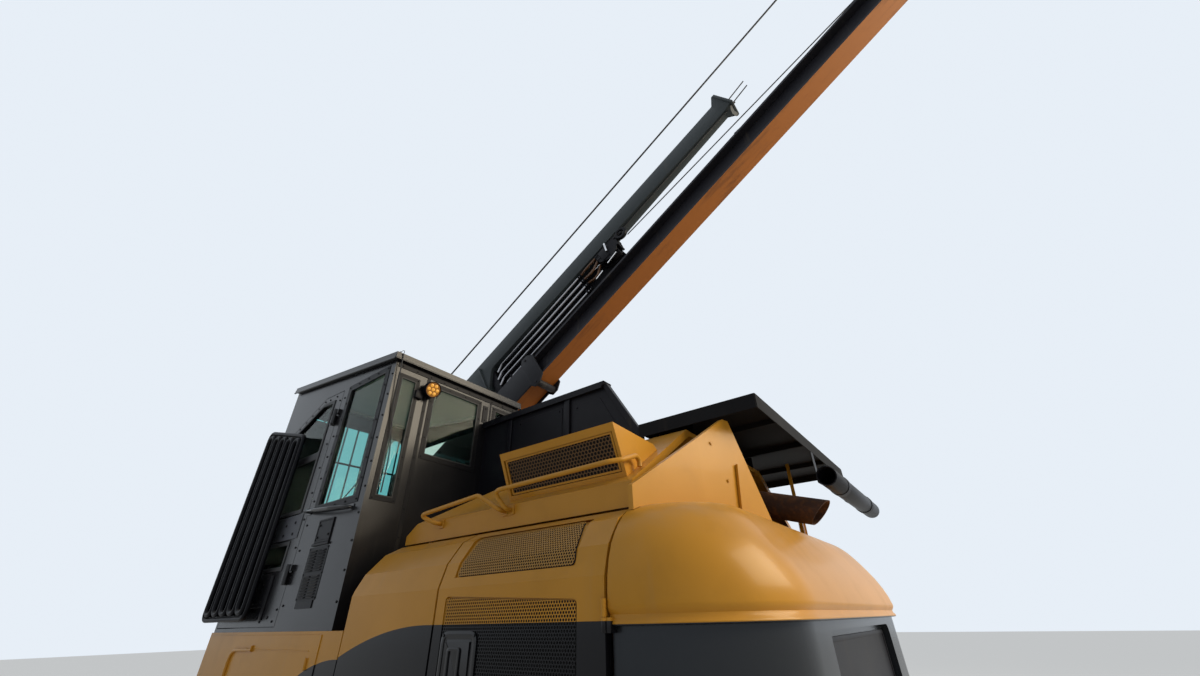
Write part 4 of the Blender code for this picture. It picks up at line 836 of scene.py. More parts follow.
WEIGHT_LEVELS = [
    # height, inset of the plan's sides, inset of its rear
    (1.100, 0.034, 0.034), (1.104, 0.030, 0.030), (1.630, 0.030, 0.030), (1.632, 0.010, 0.010),
    (1.634, 0.003, 0.003), (1.640, 0.000, 0.000), (1.647, 0.003, 0.003), (1.655, 0.011, 0.011),
    (1.668, 0.014, 0.014), (1.680, 0.006, 0.006), (1.690, 0.001, 0.001), (1.700, 0.000, 0.000),
    (1.750, 0.001, 0.014), (1.800, 0.004, 0.035), (1.860, 0.016, 0.068), (1.915, 0.036, 0.106),
    (1.960, 0.064, 0.138), (2.000, 0.096, 0.168), (2.035, 0.132, 0.197), (2.060, 0.170, 0.222),
    (2.080, 0.215, 0.246), (2.092, 0.255, 0.264), (2.100, 0.300, 0.282),
]
WEIGHT_CORNER = 0.595
CORNER_STEPS = 22


def weight_plan(side_inset, rear_inset):
    """The counterweight's plan at one height."""
    side, rear = SIDE_X - side_inset, WEIGHT_REAR - rear_inset
    corner = min(WEIGHT_CORNER - rear_inset * 0.3, rear - WEIGHT_FRONT - 0.006)
    half = [(side, WEIGHT_FRONT)]
    for k in range(CORNER_STEPS + 1):
        angle = pi / 2 * k / CORNER_STEPS
        half.append((side - corner + corner * cos(angle), rear - corner + corner * sin(angle)))
    return half + [(-x, y) for x, y in reversed(half)]


def make_weight():
    first = WEIGHT_LEVELS[0]
    made = sheet(weight_plan(*first[1:]), "Z", first[0])
    floor_z, last_plan = first[0], weight_plan(*first[1:])
    for z, side_inset, rear_inset in WEIGHT_LEVELS[1:]:
        pick(made, "FACE", lambda centre, normal: abs(centre.z - floor_z) < 0.0001 and abs(normal.z) > 0.9)
        drawn_out((0.0, 0.0, z - floor_z))
        back_to_object()
        floor_z = z
        plan = weight_plan(side_inset, rear_inset)
        for point in made.data.vertices:
            if abs(point.co.z - z) < 0.0001:
                spot = point.co.xy
                near = min(range(len(plan)), key=lambda i: (Vector(last_plan[i]) - spot).length)
                point.co.x, point.co.y = plan[near]
        last_plan = plan
    pick(made, "EDGE", lambda a, b: max(a.z, b.z) < first[0] + 0.0001)
    bpy.ops.mesh.edge_face_add()
    faced_out(made)
    cutter = profile(rectangle((-0.70, 1.20), (0.70, 1.595), 0.055, 6), "Y", WEIGHT_REAR - 0.072, WEIGHT_REAR + 0.2)
    hollow = made.modifiers.new("Recess", "BOOLEAN")
    hollow.operation = "DIFFERENCE"
    hollow.solver = "EXACT"
    hollow.object = cutter
    apply_all(made)
    bpy.data.objects.remove(cutter, do_unlink=True)
    settle(made, "counterweight_shell", "weight", "upper", 32)
    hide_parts("counterweight")

    hinges = []
    for side in (-1, 1):
        for z in (1.40, 1.66):
            x = side * (SIDE_X + 0.012)
            hinges.append(rod((x, HOUSE_REAR, z - 0.05), (x, HOUSE_REAR, z - 0.001), 0.010, 16))
            near, far = sorted((side * (SIDE_X - 0.04), x))
            hinges.append(block((near, HOUSE_REAR, z - 0.05), (far, WEIGHT_FRONT + 0.02, z - 0.001)))
    settle(softened(joined(hinges), 0.0015), "door_hinge_leaves", "striped", "upper")

    panel = profile(rectangle((-0.672, 1.228), (0.672, 1.567), 0.035, 6), "Y", WEIGHT_REAR - 0.071, WEIGHT_REAR - 0.063)
    pick(panel, "FACE", lambda centre, normal: normal.y > 0.9)
    bpy.ops.mesh.inset(thickness=0.020)
    drawn_out((0.0, -0.004, 0.0))
    back_to_object()
    settle(softened(panel, 0.0015), "weight_plate", "satin", "upper")


# Perforated sheets

def skin_run(height):
    """Length along the side's section up to a height, counted so that it equals the height on the upright."""
    run = SIDE_LINE[0][1]
    for (x0, z0), (x1, z1) in zip(SIDE_LINE, SIDE_LINE[1:]):
        stretch = Vector((x1 - x0, z1 - z0)).length
        if height <= z1:
            return run + stretch * (height - z0) / (z1 - z0)
        run += stretch
    return run


def skin_spot(run, inset):
    """Half width and height at a length along the side's section, this far inside the skin."""
    left = run - SIDE_LINE[0][1]
    for a, b in zip(SIDE_LINE, SIDE_LINE[1:]):
        a, b = Vector(a), Vector(b)
        stretch = (b - a).length
        if left <= stretch:
            break
        left -= stretch
    way = (b - a).normalized()
    return a + way * left + Vector((-way.y, way.x)) * inset


def punched(outline, pitch, hole):
    """A flat sheet in X and Y, punched with six-sided holes in staggered rows, trimmed to an outline."""
    xs, ys = [p[0] for p in outline], [p[1] for p in outline]
    cell = pitch / 3 ** 0.5
    none_picked()
    bpy.ops.mesh.primitive_circle_add(vertices=6, radius=cell, fill_type="NGON")
    made = bpy.context.object
    rimmed(made, (cell - hole / 2 / cos(pi / 6)) * cos(pi / 6))
    back_to_object()
    row = pitch * 0.75 ** 0.5
    across = int((max(xs) - min(xs)) / pitch) + 3
    up = int((max(ys) - min(ys)) / row / 2) + 2
    for count, step in ((across, (pitch, 0.0)), (2, (pitch / 2, row)), (up, (0.0, 2 * row))):
        change = made.modifiers.new("Rows", "ARRAY")
        change.count = count
        change.use_relative_offset = False
        change.use_constant_offset = True
        change.constant_offset_displace = (*step, 0.0)
    apply_all(made)
    for point in made.data.vertices:
        point.co.x += min(xs) - pitch
        point.co.y += min(ys) - row
    whole(made)
    bpy.ops.mesh.remove_doubles(threshold=pitch * 0.02)
    middle = Vector((sum(xs) / len(xs), sum(ys) / len(ys)))
    for a, b in zip(outline, outline[1:] + outline[:1]):
        run = Vector(b) - Vector(a)
        if run.length < 0.0001:
            continue
        out = Vector((run.y, -run.x)).normalized()
        if out.dot(Vector(a) - middle) < 0:
            out = -out
        bpy.ops.mesh.select_all(action="SELECT")
        bpy.ops.mesh.bisect(plane_co=(*a, 0.0), plane_no=(*out, 0.0), clear_outer=True)
    back_to_object()
    return made


def flat_grid(outline, steps):
    """A closed sheet behind a grille, with rows enough to follow a curve."""
    made = sheet(outline, "Z", 0.0)
    ys = [p[1] for p in outline]
    for k in range(1, steps):
        whole(made)
        height = min(ys) + (max(ys) - min(ys)) * k / steps
        bpy.ops.mesh.bisect(plane_co=(0.0, height, 0.0), plane_no=(0.0, 1.0, 0.0))
        back_to_object()
    return made


def laid_on(made, place, depth):
    """Carry a flat sheet on to a surface, then give it thickness inwards."""
    for point in made.data.vertices:
        point.co = place(point.co.x, point.co.y)
    faced_out(made)
    return thickened(made, depth, 0.0)


GRILLE_PITCH = 0.0145
UPPER_MESH = rounded([
    (1.040, skin_run(1.850)), (1.800, skin_run(1.850)), (1.770, skin_run(2.040)), (1.065, skin_run(2.040)),
], 0.022, 3)
LOWER_MESH = rounded([(1.006, 1.366), (1.824, 1.366), (1.824, 1.719), (1.006, 1.758)], 0.018, 4)


def make_grilles():
    for side, word in ((1, "left"), (-1, "right")):
        body = "engine_door_" + word

        def on_curve(inset):
            def place(y, run):
                spot = skin_spot(run, inset)
                return Vector((side * spot.x, y, spot.y))
            return place

        upper = laid_on(punched(UPPER_MESH, GRILLE_PITCH, 0.0098), on_curve(0.0035), 0.0016)
        settle(upper, "upper_grille_" + word, "mesh_yellow", body, 20)
        # a near-black sheet just behind the grille: painted shade for the engine bay seen through its holes
        behind = laid_on(flat_grid(UPPER_MESH, 10), on_curve(0.0105), 0.0012)
        settle(behind, "upper_grille_back_" + word, "hollow", body)

        lower = laid_on(punched(LOWER_MESH, GRILLE_PITCH, 0.0102), on_curve(0.0030), 0.0016)
        settle(lower, "lower_grille_" + word, "striped", body, 20)
        # a near-black sheet just behind the grille: painted shade for the engine bay seen through its holes
        behind = laid_on(flat_grid(LOWER_MESH, 4), on_curve(0.0105), 0.0012)
        settle(behind, "lower_grille_back_" + word, "hollow", body)

        make_latch(side, word, body)


def make_latch(side, word, body):
    """A pressed pan with a paddle latch and four screws, on the black of the door."""
    x = side * (SIDE_X + 0.001)
    out = side * 1.0
    pan_outline = rectangle((1.012, 1.372), (1.262, 1.622), 0.048)
    pan = profile(pan_outline, "X", *sorted((x - out * 0.0045, x + out * 0.003)))
    pick(pan, "FACE", lambda centre, normal: normal.x * side > 0.9)
    bpy.ops.mesh.inset(thickness=0.022)
    drawn_out((-out * 0.0035, 0.0, 0.0))
    bpy.ops.mesh.inset(thickness=0.020)
    drawn_out((out * 0.006, 0.0, 0.0))
    back_to_object()
    softened(pan, 0.0016)
    paddle = profile(rectangle((1.075, 1.430), (1.165, 1.560), 0.018), "X", *sorted((x + out * 0.003, x + out * 0.012)))
    pick(paddle, "FACE", lambda centre, normal: normal.x * side > 0.9)
    bpy.ops.mesh.inset(thickness=0.014)
    drawn_out((-out * 0.006, 0.0, 0.0))
    back_to_object()
    softened(paddle, 0.0014)
    corners = [Vector((x + out * 0.003, y, z)) for y in (1.029, 1.245) for z in (1.389, 1.605)]
    screws = bolts(corners, (out, 0.0, 0.0), 0.006, 0.005)
    settle(joined([pan, paddle, screws]), "door_latch_" + word, "gloss_black", body)


SCOOP_FOOT = Vector((1.215, 2.248))
SCOOP_TOP = Vector((1.325, 2.495))


def make_scoop_mesh():
    """Coarse mesh set in the scoop's mouth, in a thin folded frame."""
    run = SCOOP_TOP - SCOOP_FOOT
    up = run.normalized()
    out = Vector((up.y, -up.x))
    low, high = run.length * 0.10, run.length * 0.83
    outline = [(1.118, low), (1.882, low), (1.882, high), (1.118, high)]

    def in_mouth(depth):
        def place(y, s):
            spot = SCOOP_FOOT + up * s - out * depth
            return Vector((spot.x, y, spot.y))
        return place

    mesh = laid_on(punched(outline, 0.0215, 0.0165), in_mouth(0.012), 0.0022)
    settle(mesh, "scoop_mesh", "mesh_bronze", "upper", 20)
    # a near-black sheet behind the mesh: painted shade for the inside of the intake
    settle(laid_on(flat_grid(outline, 3), in_mouth(0.026), 0.0012), "scoop_back", "hollow", "upper")
    frame_bar = sheet(outline, "Z", 0.0)
    rimmed(frame_bar, 0.010)
    back_to_object()
    settle(laid_on(frame_bar, in_mouth(0.008), 0.004), "scoop_frame", "yellow", "upper")


# Cab trim

CAB_REAR, CAB_FRONT = -0.04, -1.90
CAB_INNER_X = 0.17
CAB_TOP_REAR, CAB_TOP_FRONT = 3.47, 3.71


def roof_z(y):
    """Height of the cab's side wall, which rises towards the front."""
    share = (y - CAB_REAR) / (CAB_FRONT - CAB_REAR)
    return CAB_TOP_REAR + share * (CAB_TOP_FRONT - CAB_TOP_REAR)


def evenly(start, end, count):
    return [start + (end - start) * k / (count - 1) for k in range(count)]


def frame_bolts(low, high, across, up, place, way):
    """Bolts along all four sides of a frame, given in its wall's plane."""
    spots = [(a, level) for a in evenly(low[0], high[0], across) for level in (low[1], high[1])]
    spots += [(edge, b) for b in evenly(low[1], high[1], up)[1:-1] for edge in (low[0], high[0])]
    return bolts([place(a, b) for a, b in spots], way, 0.0065, 0.006)


def make_window_frames():
    """Clamping frames and rubber lips round the panes, bolted all round."""
    rear, left = CAB_REAR, SIDE_X
    trim, seals = [], []
    for low, high, width, across, up in (
        ((1.268, 2.388), (1.462, 3.362), 0.032, 2, 7),
        ((0.622, 2.742), (1.158, 3.388), 0.038, 4, 5),
        ((0.230, 2.590), (0.490, 3.380), 0.030, 2, 5),
    ):
        trim.append(softened(ring(rectangle(low, high), width, "Y", rear, 0.004), 0.0012, 1))
        inner_low, inner_high = (low[0] + width, low[1] + width), (high[0] - width, high[1] - width)
        seals.append(ring(rectangle(inner_low, inner_high), 0.007, "Y", rear - 0.011, 0.016))
        half = width / 2
        edge = frame_bolts(
            (low[0] + half, low[1] + half), (high[0] - half, high[1] - half), across, up,
            lambda a, b: Vector((a, rear + 0.004, b)), (0.0, 1.0, 0.0),
        )
        trim.append(edge)
    low, high = (-0.745, 2.376), (-0.115, 3.432)
    trim.append(softened(ring(rectangle(low, high), 0.045, "X", left, 0.004), 0.0012, 1))
    seals.append(ring(rectangle((-0.700, 2.421), (-0.160, 3.387)), 0.008, "X", left - 0.011, 0.016))
    trim.append(frame_bolts(
        (-0.722, 2.399), (-0.138, 3.410), 5, 8, lambda a, b: Vector((left + 0.004, a, b)), (1.0, 0.0, 0.0)
    ))
    # strips over the wall seams and below the roof
    for low, high in (
        ((1.176, rear, 1.70), (1.206, rear + 0.003, 3.44)), ((0.506, rear, 1.70), (0.524, rear + 0.003, 3.44)),
        ((0.19, rear, 3.405), (1.48, rear + 0.005, 3.440)), ((0.545, rear, 3.20), (0.600, rear + 0.006, 3.36)),
    ):
        trim.append(bar(low, high, 0.001, 1))
    spots = [Vector((1.191, rear + 0.003, z)) for z in evenly(1.80, 3.30, 9)]
    spots += [Vector((x, rear + 0.005, 3.422)) for x in evenly(0.24, 1.44, 10)]
    spots += [Vector((0.572, rear + 0.006, z)) for z in (3.225, 3.335)]
    trim.append(bolts(spots, (0.0, 1.0, 0.0), 0.0065, 0.006))
    spots = [Vector((left, y, roof_z(y) - 0.03)) for y in evenly(-0.70, -0.12, 5)]
    spots += [Vector((left, -0.79, z)) for z in evenly(1.78, 3.34, 10)]
    spots += [Vector((left, -0.065, z)) for z in evenly(1.78, 3.34, 10)]
    trim.append(bolts(spots, (1.0, 0.0, 0.0), 0.0065, 0.006))
    settle(joined(trim), "cab_window_frames", "cab_trim", "upper")
    settle(joined(seals), "cab_window_seals", "rubber", "upper")


def make_roof_edge():
    """A folded drip edge round the roof, with a narrow shadow gap below."""
    pieces = []
    front, rear = CAB_FRONT - 0.020, CAB_REAR + 0.020
    x0, x1 = CAB_INNER_X - 0.008, SIDE_X + 0.031
    low_front, low_rear = roof_z(front) - 0.012, roof_z(rear) - 0.012
    side = [(front, low_front), (rear, low_rear), (rear, low_rear + 0.036), (front, low_front + 0.036)]
    pieces.append(profile(side, "X", SIDE_X + 0.0255, SIDE_X + 0.031))
    pieces.append(block((x0, rear + 0.0052, low_rear), (x1, rear + 0.0105, low_rear + 0.036)))
    pieces.append(rod((x0, rear + 0.008, low_rear + 0.004), (x1, rear + 0.008, low_rear + 0.004), 0.008, 12))
    pieces.append(rod(
        (SIDE_X + 0.029, front, low_front + 0.004), (SIDE_X + 0.029, rear, low_rear + 0.004), 0.008, 12
    ))
    settle(softened(joined(pieces), 0.0012, 1, 40), "roof_drip_edge", "cab", "upper")


def louvre(length):
    """One pressed louvre: a blade that leans out of the panel, open below."""
    blade = profile(
        [(0.000, 0.000), (0.0085, -0.0015), (0.0100, 0.0005), (0.0080, 0.0045), (0.000, 0.0100)], "Y", 0.0,
        length,
    )
    pick(blade, "VERT", lambda place: place.x > 0.005)
    bpy.ops.transform.resize(value=(1.0, 0.86, 1.0), center_override=(0.0, length / 2, 0.0))
    back_to_object()
    return blade


def make_left_wall_fittings():
    """Louvred plate, hatch and grab handle on the wall behind the cab's door."""
    x = SIDE_X
    backing = profile(rectangle((-0.622, 1.800), (-0.350, 2.128), 0.012), "X", x, x + 0.0025)
    foot = profile(rectangle((-0.600, 1.755), (-0.375, 1.802), 0.006), "X", x, x + 0.006)
    lid = profile(rectangle((-0.565, 2.168), (-0.385, 2.295), 0.014), "X", x, x + 0.006)
    lid_rim = softened(ring(rectangle((-0.580, 2.153), (-0.370, 2.310)), 0.014, "X", x, 0.009), 0.002, 1)
    shelf = block((x, -0.590, 2.135), (x + 0.014, -0.360, 2.150))
    fixings = bolts(
        [Vector((x + 0.006, y, z)) for y, z in ((-0.550, 2.270), (-0.550, 2.190), (-0.400, 2.200))],
        (1.0, 0.0, 0.0), 0.007
    )
    fixings = joined([fixings, bolts(
        [Vector((x + 0.0025, y, z)) for y in (-0.612, -0.360) for z in (1.812, 1.958, 2.118)], (1.0, 0.0, 0.0),
        0.005, 0.004
    )])
    plates = softened(joined([backing, foot, lid, shelf]), 0.0012, 1)
    settle(joined([plates, lid_rim, fixings]), "cab_side_plates", "cab_trim", "upper")

    places = []
    for high, low in ((2.098, 1.975), (1.938, 1.815)):
        for z in evenly(low, high, 8):
            for y in (-0.600, -0.480):
                places.append(Matrix.Translation((x + 0.002, y, z)))
    settle(repeated(louvre(0.104), places), "cab_louvres", "cab_trim", "upper", 50)

    handle = tube(bent([
        (x - 0.004, -0.800, 2.395), (x + 0.052, -0.790, 2.392), (x + 0.088, -0.560, 2.368), (x + 0.082, -0.330, 2.352),
        (x + 0.044, -0.178, 2.345), (x - 0.004, -0.170, 2.346),
    ], 0.05, 8), 0.011, 4)
    bar = tube(bent([
        (x + 0.010, -0.802, 2.398), (x + 0.016, -0.500, 2.372), (x + 0.010, -0.168, 2.348),
    ], 0.2, 4), 0.008, 3)
    feet = [
        softened(profile(rectangle((y - 0.028, z - 0.022), (y + 0.028, z + 0.022), 0.008), "X", x, x + 0.006), 0.001, 1)
        for y, z in ((-0.800, 2.396), (-0.170, 2.346))
    ]
    settle(joined([handle, bar] + feet), "cab_grab_handle", "gloss_black", "upper")


def make_door_trim():
    """Seal, bolted edge, kick plates and latch on the cab's door."""
    x = SIDE_X
    outline = [(-1.748, 2.412), (-0.952, 2.412), (-0.952, 3.368), (-1.166, 3.378), (-1.598, 3.186), (-1.748, 3.005)]
    frame_bar = softened(ring(outline, 0.030, "X", x, 0.006), 0.0025, 2)
    low_bar = softened(ring(rectangle((-1.630, 2.010), (-0.990, 2.212)), 0.028, "X", x, 0.005), 0.002, 1)
    middle = bar((x - 0.008, -1.735, 2.838), (x + 0.0045, -0.965, 2.904), 0.004, 2)
    settle(joined([frame_bar, low_bar, middle]), "door_seals", "rubber", "cab_door")

    slope = line_up((x, -1.160, 3.402), (x, -1.640, 3.190), 6) + line_up((x, -1.690, 3.150), (x, -1.830, 2.960), 3)
    spots = slope + [
        Vector((x, -0.872, z))
        for z in evenly(1.76, 3.34, 9)
    ] + [Vector((x, y, 3.398)) for y in (-1.07, -0.95)]
    spots += [Vector((x, y, 1.690)) for y in evenly(-1.10, -0.90, 2)]
    settle(bolts(spots, (1.0, 0.0, 0.0), 0.0065, 0.006), "door_bolts", "cab_trim", "cab_door")

    plate = softened(profile(rectangle((-1.385, 2.226), (-0.900, 2.402), 0.010), "X", x, x + 0.004), 0.0012, 1)
    fixings = bolts(
        [Vector((x + 0.004, y, z)) for y, z in ((-1.143, 2.335), (-0.995, 2.343), (-1.147, 2.262), (-0.992, 2.262))],
        (1.0, 0.0, 0.0), 0.009, 0.006,
    )
    settle(plate, "door_grey_plate", "dull_grey", "cab_door")
    settle(fixings, "door_grey_plate_bolts", "cab_trim", "cab_door")

    plate = profile(rectangle((-1.376, 1.780), (-1.135, 2.000), 0.016), "X", x, x + 0.004)
    pan = profile(rectangle((-1.330, 1.805), (-1.205, 1.905), 0.012), "X", x + 0.001, x + 0.0065)
    grip = tube(bent([
        (x + 0.004, -1.310, 1.815), (x + 0.030, -1.308, 1.820), (x + 0.030, -1.302, 1.895), (x + 0.004, -1.300, 1.900),
    ], 0.014, 5), 0.008, 3)
    post = bar((x, -1.118, 1.700), (x + 0.010, -1.078, 1.985), 0.003, 2)
    fixings = bolts(
        [Vector((x + 0.004, y, z)) for y, z in ((-1.304, 1.954), (-1.174, 1.959), (-1.220, 1.925), (-1.174, 1.810))],
        (1.0, 0.0, 0.0), 0.009, 0.006,
    )
    low_fixings = bolts(
        [Vector((x, y, z)) for y, z in ((-1.165, 1.715), (-0.991, 1.715))], (1.0, 0.0, 0.0), 0.009, 0.006,
    )
    settle(
        joined([softened(joined([plate, pan]), 0.0012, 1), grip, post, fixings, low_fixings]),
        "door_latch_plate", "cab_trim", "cab_door",
    )


# The ribbed guard that hangs outside the cab's door
GUARD_LOW_Y, GUARD_HIGH_Y = -2.02, -1.18
GUARD_FOOT, GUARD_TOP_FRONT, GUARD_TOP_REAR = 1.70, 3.30, 3.08
GUARD_RIBS = 5


def make_guard():
    x = SIDE_X + 0.055
    outer = rounded([
        (GUARD_LOW_Y, GUARD_FOOT), (GUARD_HIGH_Y, GUARD_FOOT), (GUARD_HIGH_Y, GUARD_TOP_REAR),
        (GUARD_LOW_Y, GUARD_TOP_FRONT),
    ], 0.075, 8)
    back = softened(profile(outer, "X", x, x + 0.006), 0.0015, 1)
    middle = Vector(((GUARD_LOW_Y + GUARD_HIGH_Y) / 2, 2.45))
    edge = []
    for y, z in outer:
        inward = (middle - Vector((y, z))).normalized() * 0.014
        edge.append((x + 0.016, y + inward.x, z + inward.y))
    shapes = [back, tube(edge, 0.016, 4, closed=True)]
    pitch = (GUARD_HIGH_Y - GUARD_LOW_Y - 0.06) / GUARD_RIBS
    fall = (GUARD_TOP_REAR - GUARD_TOP_FRONT) / (GUARD_HIGH_Y - GUARD_LOW_Y)
    for k in range(GUARD_RIBS):
        at = GUARD_LOW_Y + 0.03 + pitch * (k + 0.5)
        top = GUARD_TOP_FRONT + fall * (at - GUARD_LOW_Y) - 0.055
        half = pitch * 0.36
        low = GUARD_FOOT + 0.05
        loop = rounded([(at - half, low), (at + half, low), (at + half, top), (at - half, top)], half * 0.98, 9)
        shapes.append(tube([(x + 0.024, y, z) for y, z in loop], 0.0185, 5, closed=True))
        inner = rounded([
            (at - half * 0.35, low + 0.06), (at + half * 0.35, low + 0.06),
            (at + half * 0.35, top - 0.06), (at - half * 0.35, top - 0.06),
        ], half * 0.33, 6)
        bead = profile(inner, "X", x + 0.005, x + 0.020)
        shapes.append(softened(bead, 0.005, 2))
    for z in (1.78, 2.87):
        shapes.append(bar((SIDE_X + 0.0004, -1.75, z - 0.03), (x + 0.004, -1.60, z + 0.03), 0.004, 2))
        spots = [Vector((x + 0.006, y, z)) for y in (-1.72, -1.63)]
        shapes.append(bolts(spots, (1.0, 0.0, 0.0), 0.009, 0.007))
    made = settle(joined(shapes), "guard_ribs", "guard", "cab_door", 40)
    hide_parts("door_guard")


def make_work_lamp():
    """A round amber lamp of many cells in a deep black shell, on a bent bracket."""
    centre = Vector((1.185, CAB_REAR + 0.075, 3.285))
    way = Vector((0.14, 1.0, -0.34)).normalized()
    shell = rod(centre - way * 0.040, centre + way * 0.012, 0.066, 40)
    pick(shell, "FACE", lambda place, normal: normal.dot(way) < -0.9)
    bpy.ops.mesh.inset(thickness=0.022)
    bpy.ops.transform.translate(value=-way * 0.016)
    pick(shell, "FACE", lambda place, normal: normal.dot(way) > 0.9)
    bpy.ops.mesh.inset(thickness=0.006)
    drawn_out(-way * 0.010)
    back_to_object()
    softened(shell, 0.0018, 2)
    bracket = profile([
        (CAB_REAR, 3.235), (CAB_REAR + 0.004, 3.235), (CAB_REAR + 0.004, 3.325), (CAB_REAR + 0.060, 3.345),
        (CAB_REAR + 0.060, 3.350), (CAB_REAR, 3.331),
    ], "X", 1.150, 1.225)
    arm = softened(bracket, 0.0012, 1)
    stem = rod(centre - way * 0.02 + Vector((0, 0, 0.04)), (1.187, CAB_REAR + 0.045, 3.342), 0.012, 16)
    knob = bolts([Vector((1.187, CAB_REAR + 0.035, 3.350))], (0.0, 0.0, 1.0), 0.012, 0.008)
    side = bar((1.235, CAB_REAR, 3.195), (1.300, CAB_REAR + 0.028, 3.262), 0.005, 2)
    made = settle(joined([shell, arm, stem, knob, side]), "lamp_shell", "satin", "upper")
    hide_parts("work_light")

    glass = rod(centre - way * 0.001, centre + way * 0.004, 0.0595, 40)
    turn = facing(centre + way * 0.003, way)
    none_picked()
    bpy.ops.mesh.primitive_uv_sphere_add(segments=14, ring_count=8, radius=0.0150)
    cell = bpy.context.object
    whole(cell)
    bpy.ops.mesh.bisect(plane_co=(0.0, 0.0, 0.0), plane_no=(0.0, 0.0, -1.0), use_fill=True, clear_outer=True)
    bpy.ops.mesh.select_all(action="SELECT")
    bpy.ops.transform.resize(value=(1.0, 1.0, 0.55), center_override=(0.0, 0.0, 0.0))
    back_to_object()
    spots = [(0.0, 0.0)] + [(0.036 * cos(pi / 3 * k), 0.036 * sin(pi / 3 * k)) for k in range(6)]
    cells = repeated(cell, [turn @ Matrix.Translation((a, b, 0.0)) for a, b in spots])
    settle(glass, "lamp_disc", "amber_disc", "upper")
    settle(cells, "lamp_cells", "amber", "upper")


def make_cab_wires():
    """A thin lead from the aerial down the rear corner, and the lamp's own lead."""
    y = CAB_REAR + 0.010
    route = flowing([
        (1.478, y + 0.022, 3.512), (1.476, y + 0.026, 3.450), (1.462, y + 0.014, 3.20), (1.455, y + 0.012, 3.05),
        (1.425, y + 0.012, 2.86), (1.405, y + 0.012, 2.70), (1.402, y + 0.010, 2.52), (1.400, y + 0.006, 2.440),
    ], 36)
    lead = settle(tube(route, 0.0045, 2), "aerial_lead", "rubber", "upper", 60)
    route = flowing([
        (1.175, CAB_REAR + 0.050, 3.335), (1.150, CAB_REAR + 0.046, 3.352), (1.120, CAB_REAR + 0.030, 3.345),
        (1.105, CAB_REAR + 0.022, 3.315), (1.100, CAB_REAR + 0.018, 3.270), (1.103, CAB_REAR + 0.008, 3.235),
    ], 24)
    lead = settle(tube(route, 0.0035, 2), "lamp_lead", "rubber", "upper", 60)
    loop = [
        Vector((1.470 + 0.016 * cos(a), y - 0.030 + 0.034 * sin(a), 3.530 + 0.020 * sin(a) ** 2))
        for a in evenly(0.0, 2 * pi, 17)[:-1]
    ]
    stub = rod((1.480, -0.055, 3.515), (1.480, -0.055, 3.545), 0.006, 12)
    settle(joined([tube(loop, 0.0022, 2, closed=True), stub]), "aerial_base", "rubber", "upper")


def make_rails():
    """Two bent tube rails on small welded feet along the hood's left edge."""
    face, out, foot = 1.2703, 1.36, 2.18
    front = bent([
        (face, 0.55, foot), (face + 0.045, 0.55, foot), (out - 0.008, 0.42, 2.235), (out, 0.98, 2.272),
        (face + 0.045, 1.125, foot), (face, 1.125, foot),
    ], 0.050, 7)
    end_x, end_y = 1.15, HOUSE_REAR - 0.025
    rear = bent([
        (face, 1.17, foot), (face + 0.045, 1.17, foot), (out, 1.105, 2.276), (out, 1.90, 2.287),
        (out - 0.05, end_y, 2.300), (end_x + 0.03, end_y, 2.350), (end_x, end_y, 2.335), (end_x, end_y, 2.300),
    ], 0.045, 7)
    for points, name, node in ((front, "rail_front", "handrail_front"), (rear, "rail_rear", "handrail")):
        made = [tube(points, 0.0125, 5)]
        for y in [points[0].y] + ([points[-1].y] if node == "handrail_front" else []):
            made.append(softened(
                profile(
                    rectangle((y - 0.026, foot - 0.026), (y + 0.026, foot + 0.026), 0.006), "X", face - 0.0003,
                    face + 0.006,
                ),
                0.001, 1
            ))
        made = settle(joined(made), name, "yellow", "upper")
        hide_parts(node)


def make_exhaust():
    """A rusty pipe whose open end is cut off on the slant."""
    x = -0.30
    route = bent([(x, 1.30, 2.150), (x, 1.30, 2.345), (x, 2.00, 2.345), (x, 2.72, 2.135)], 0.20, 9)
    pipe = tube_skin(route, 0.085, 10, capped=False)
    whole(pipe)
    slant = Vector((0.0, 0.52, -0.52)).normalized()
    bpy.ops.mesh.bisect(plane_co=(x, 2.18, 1.98), plane_no=slant, clear_outer=True)
    faced_out(pipe)
    thickened(pipe, 0.006, -1.0)
    softened(pipe, 0.0012, 1, 50)
    clamps = []
    for y, z in ((1.62, 2.345), (1.90, 2.345)):
        clamps.append(pin((x, y - 0.014, z), (x, y + 0.014, z), 0.091, 32, 0.002, 1))
    made = settle(joined([pipe] + clamps), "exhaust_pipe", "rust", "upper", 40)
    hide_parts("exhaust")


CANOPY_LOW, CANOPY_HIGH = Vector((-1.46, 1.63, 2.66)), Vector((0.63, 2.43, 2.75))


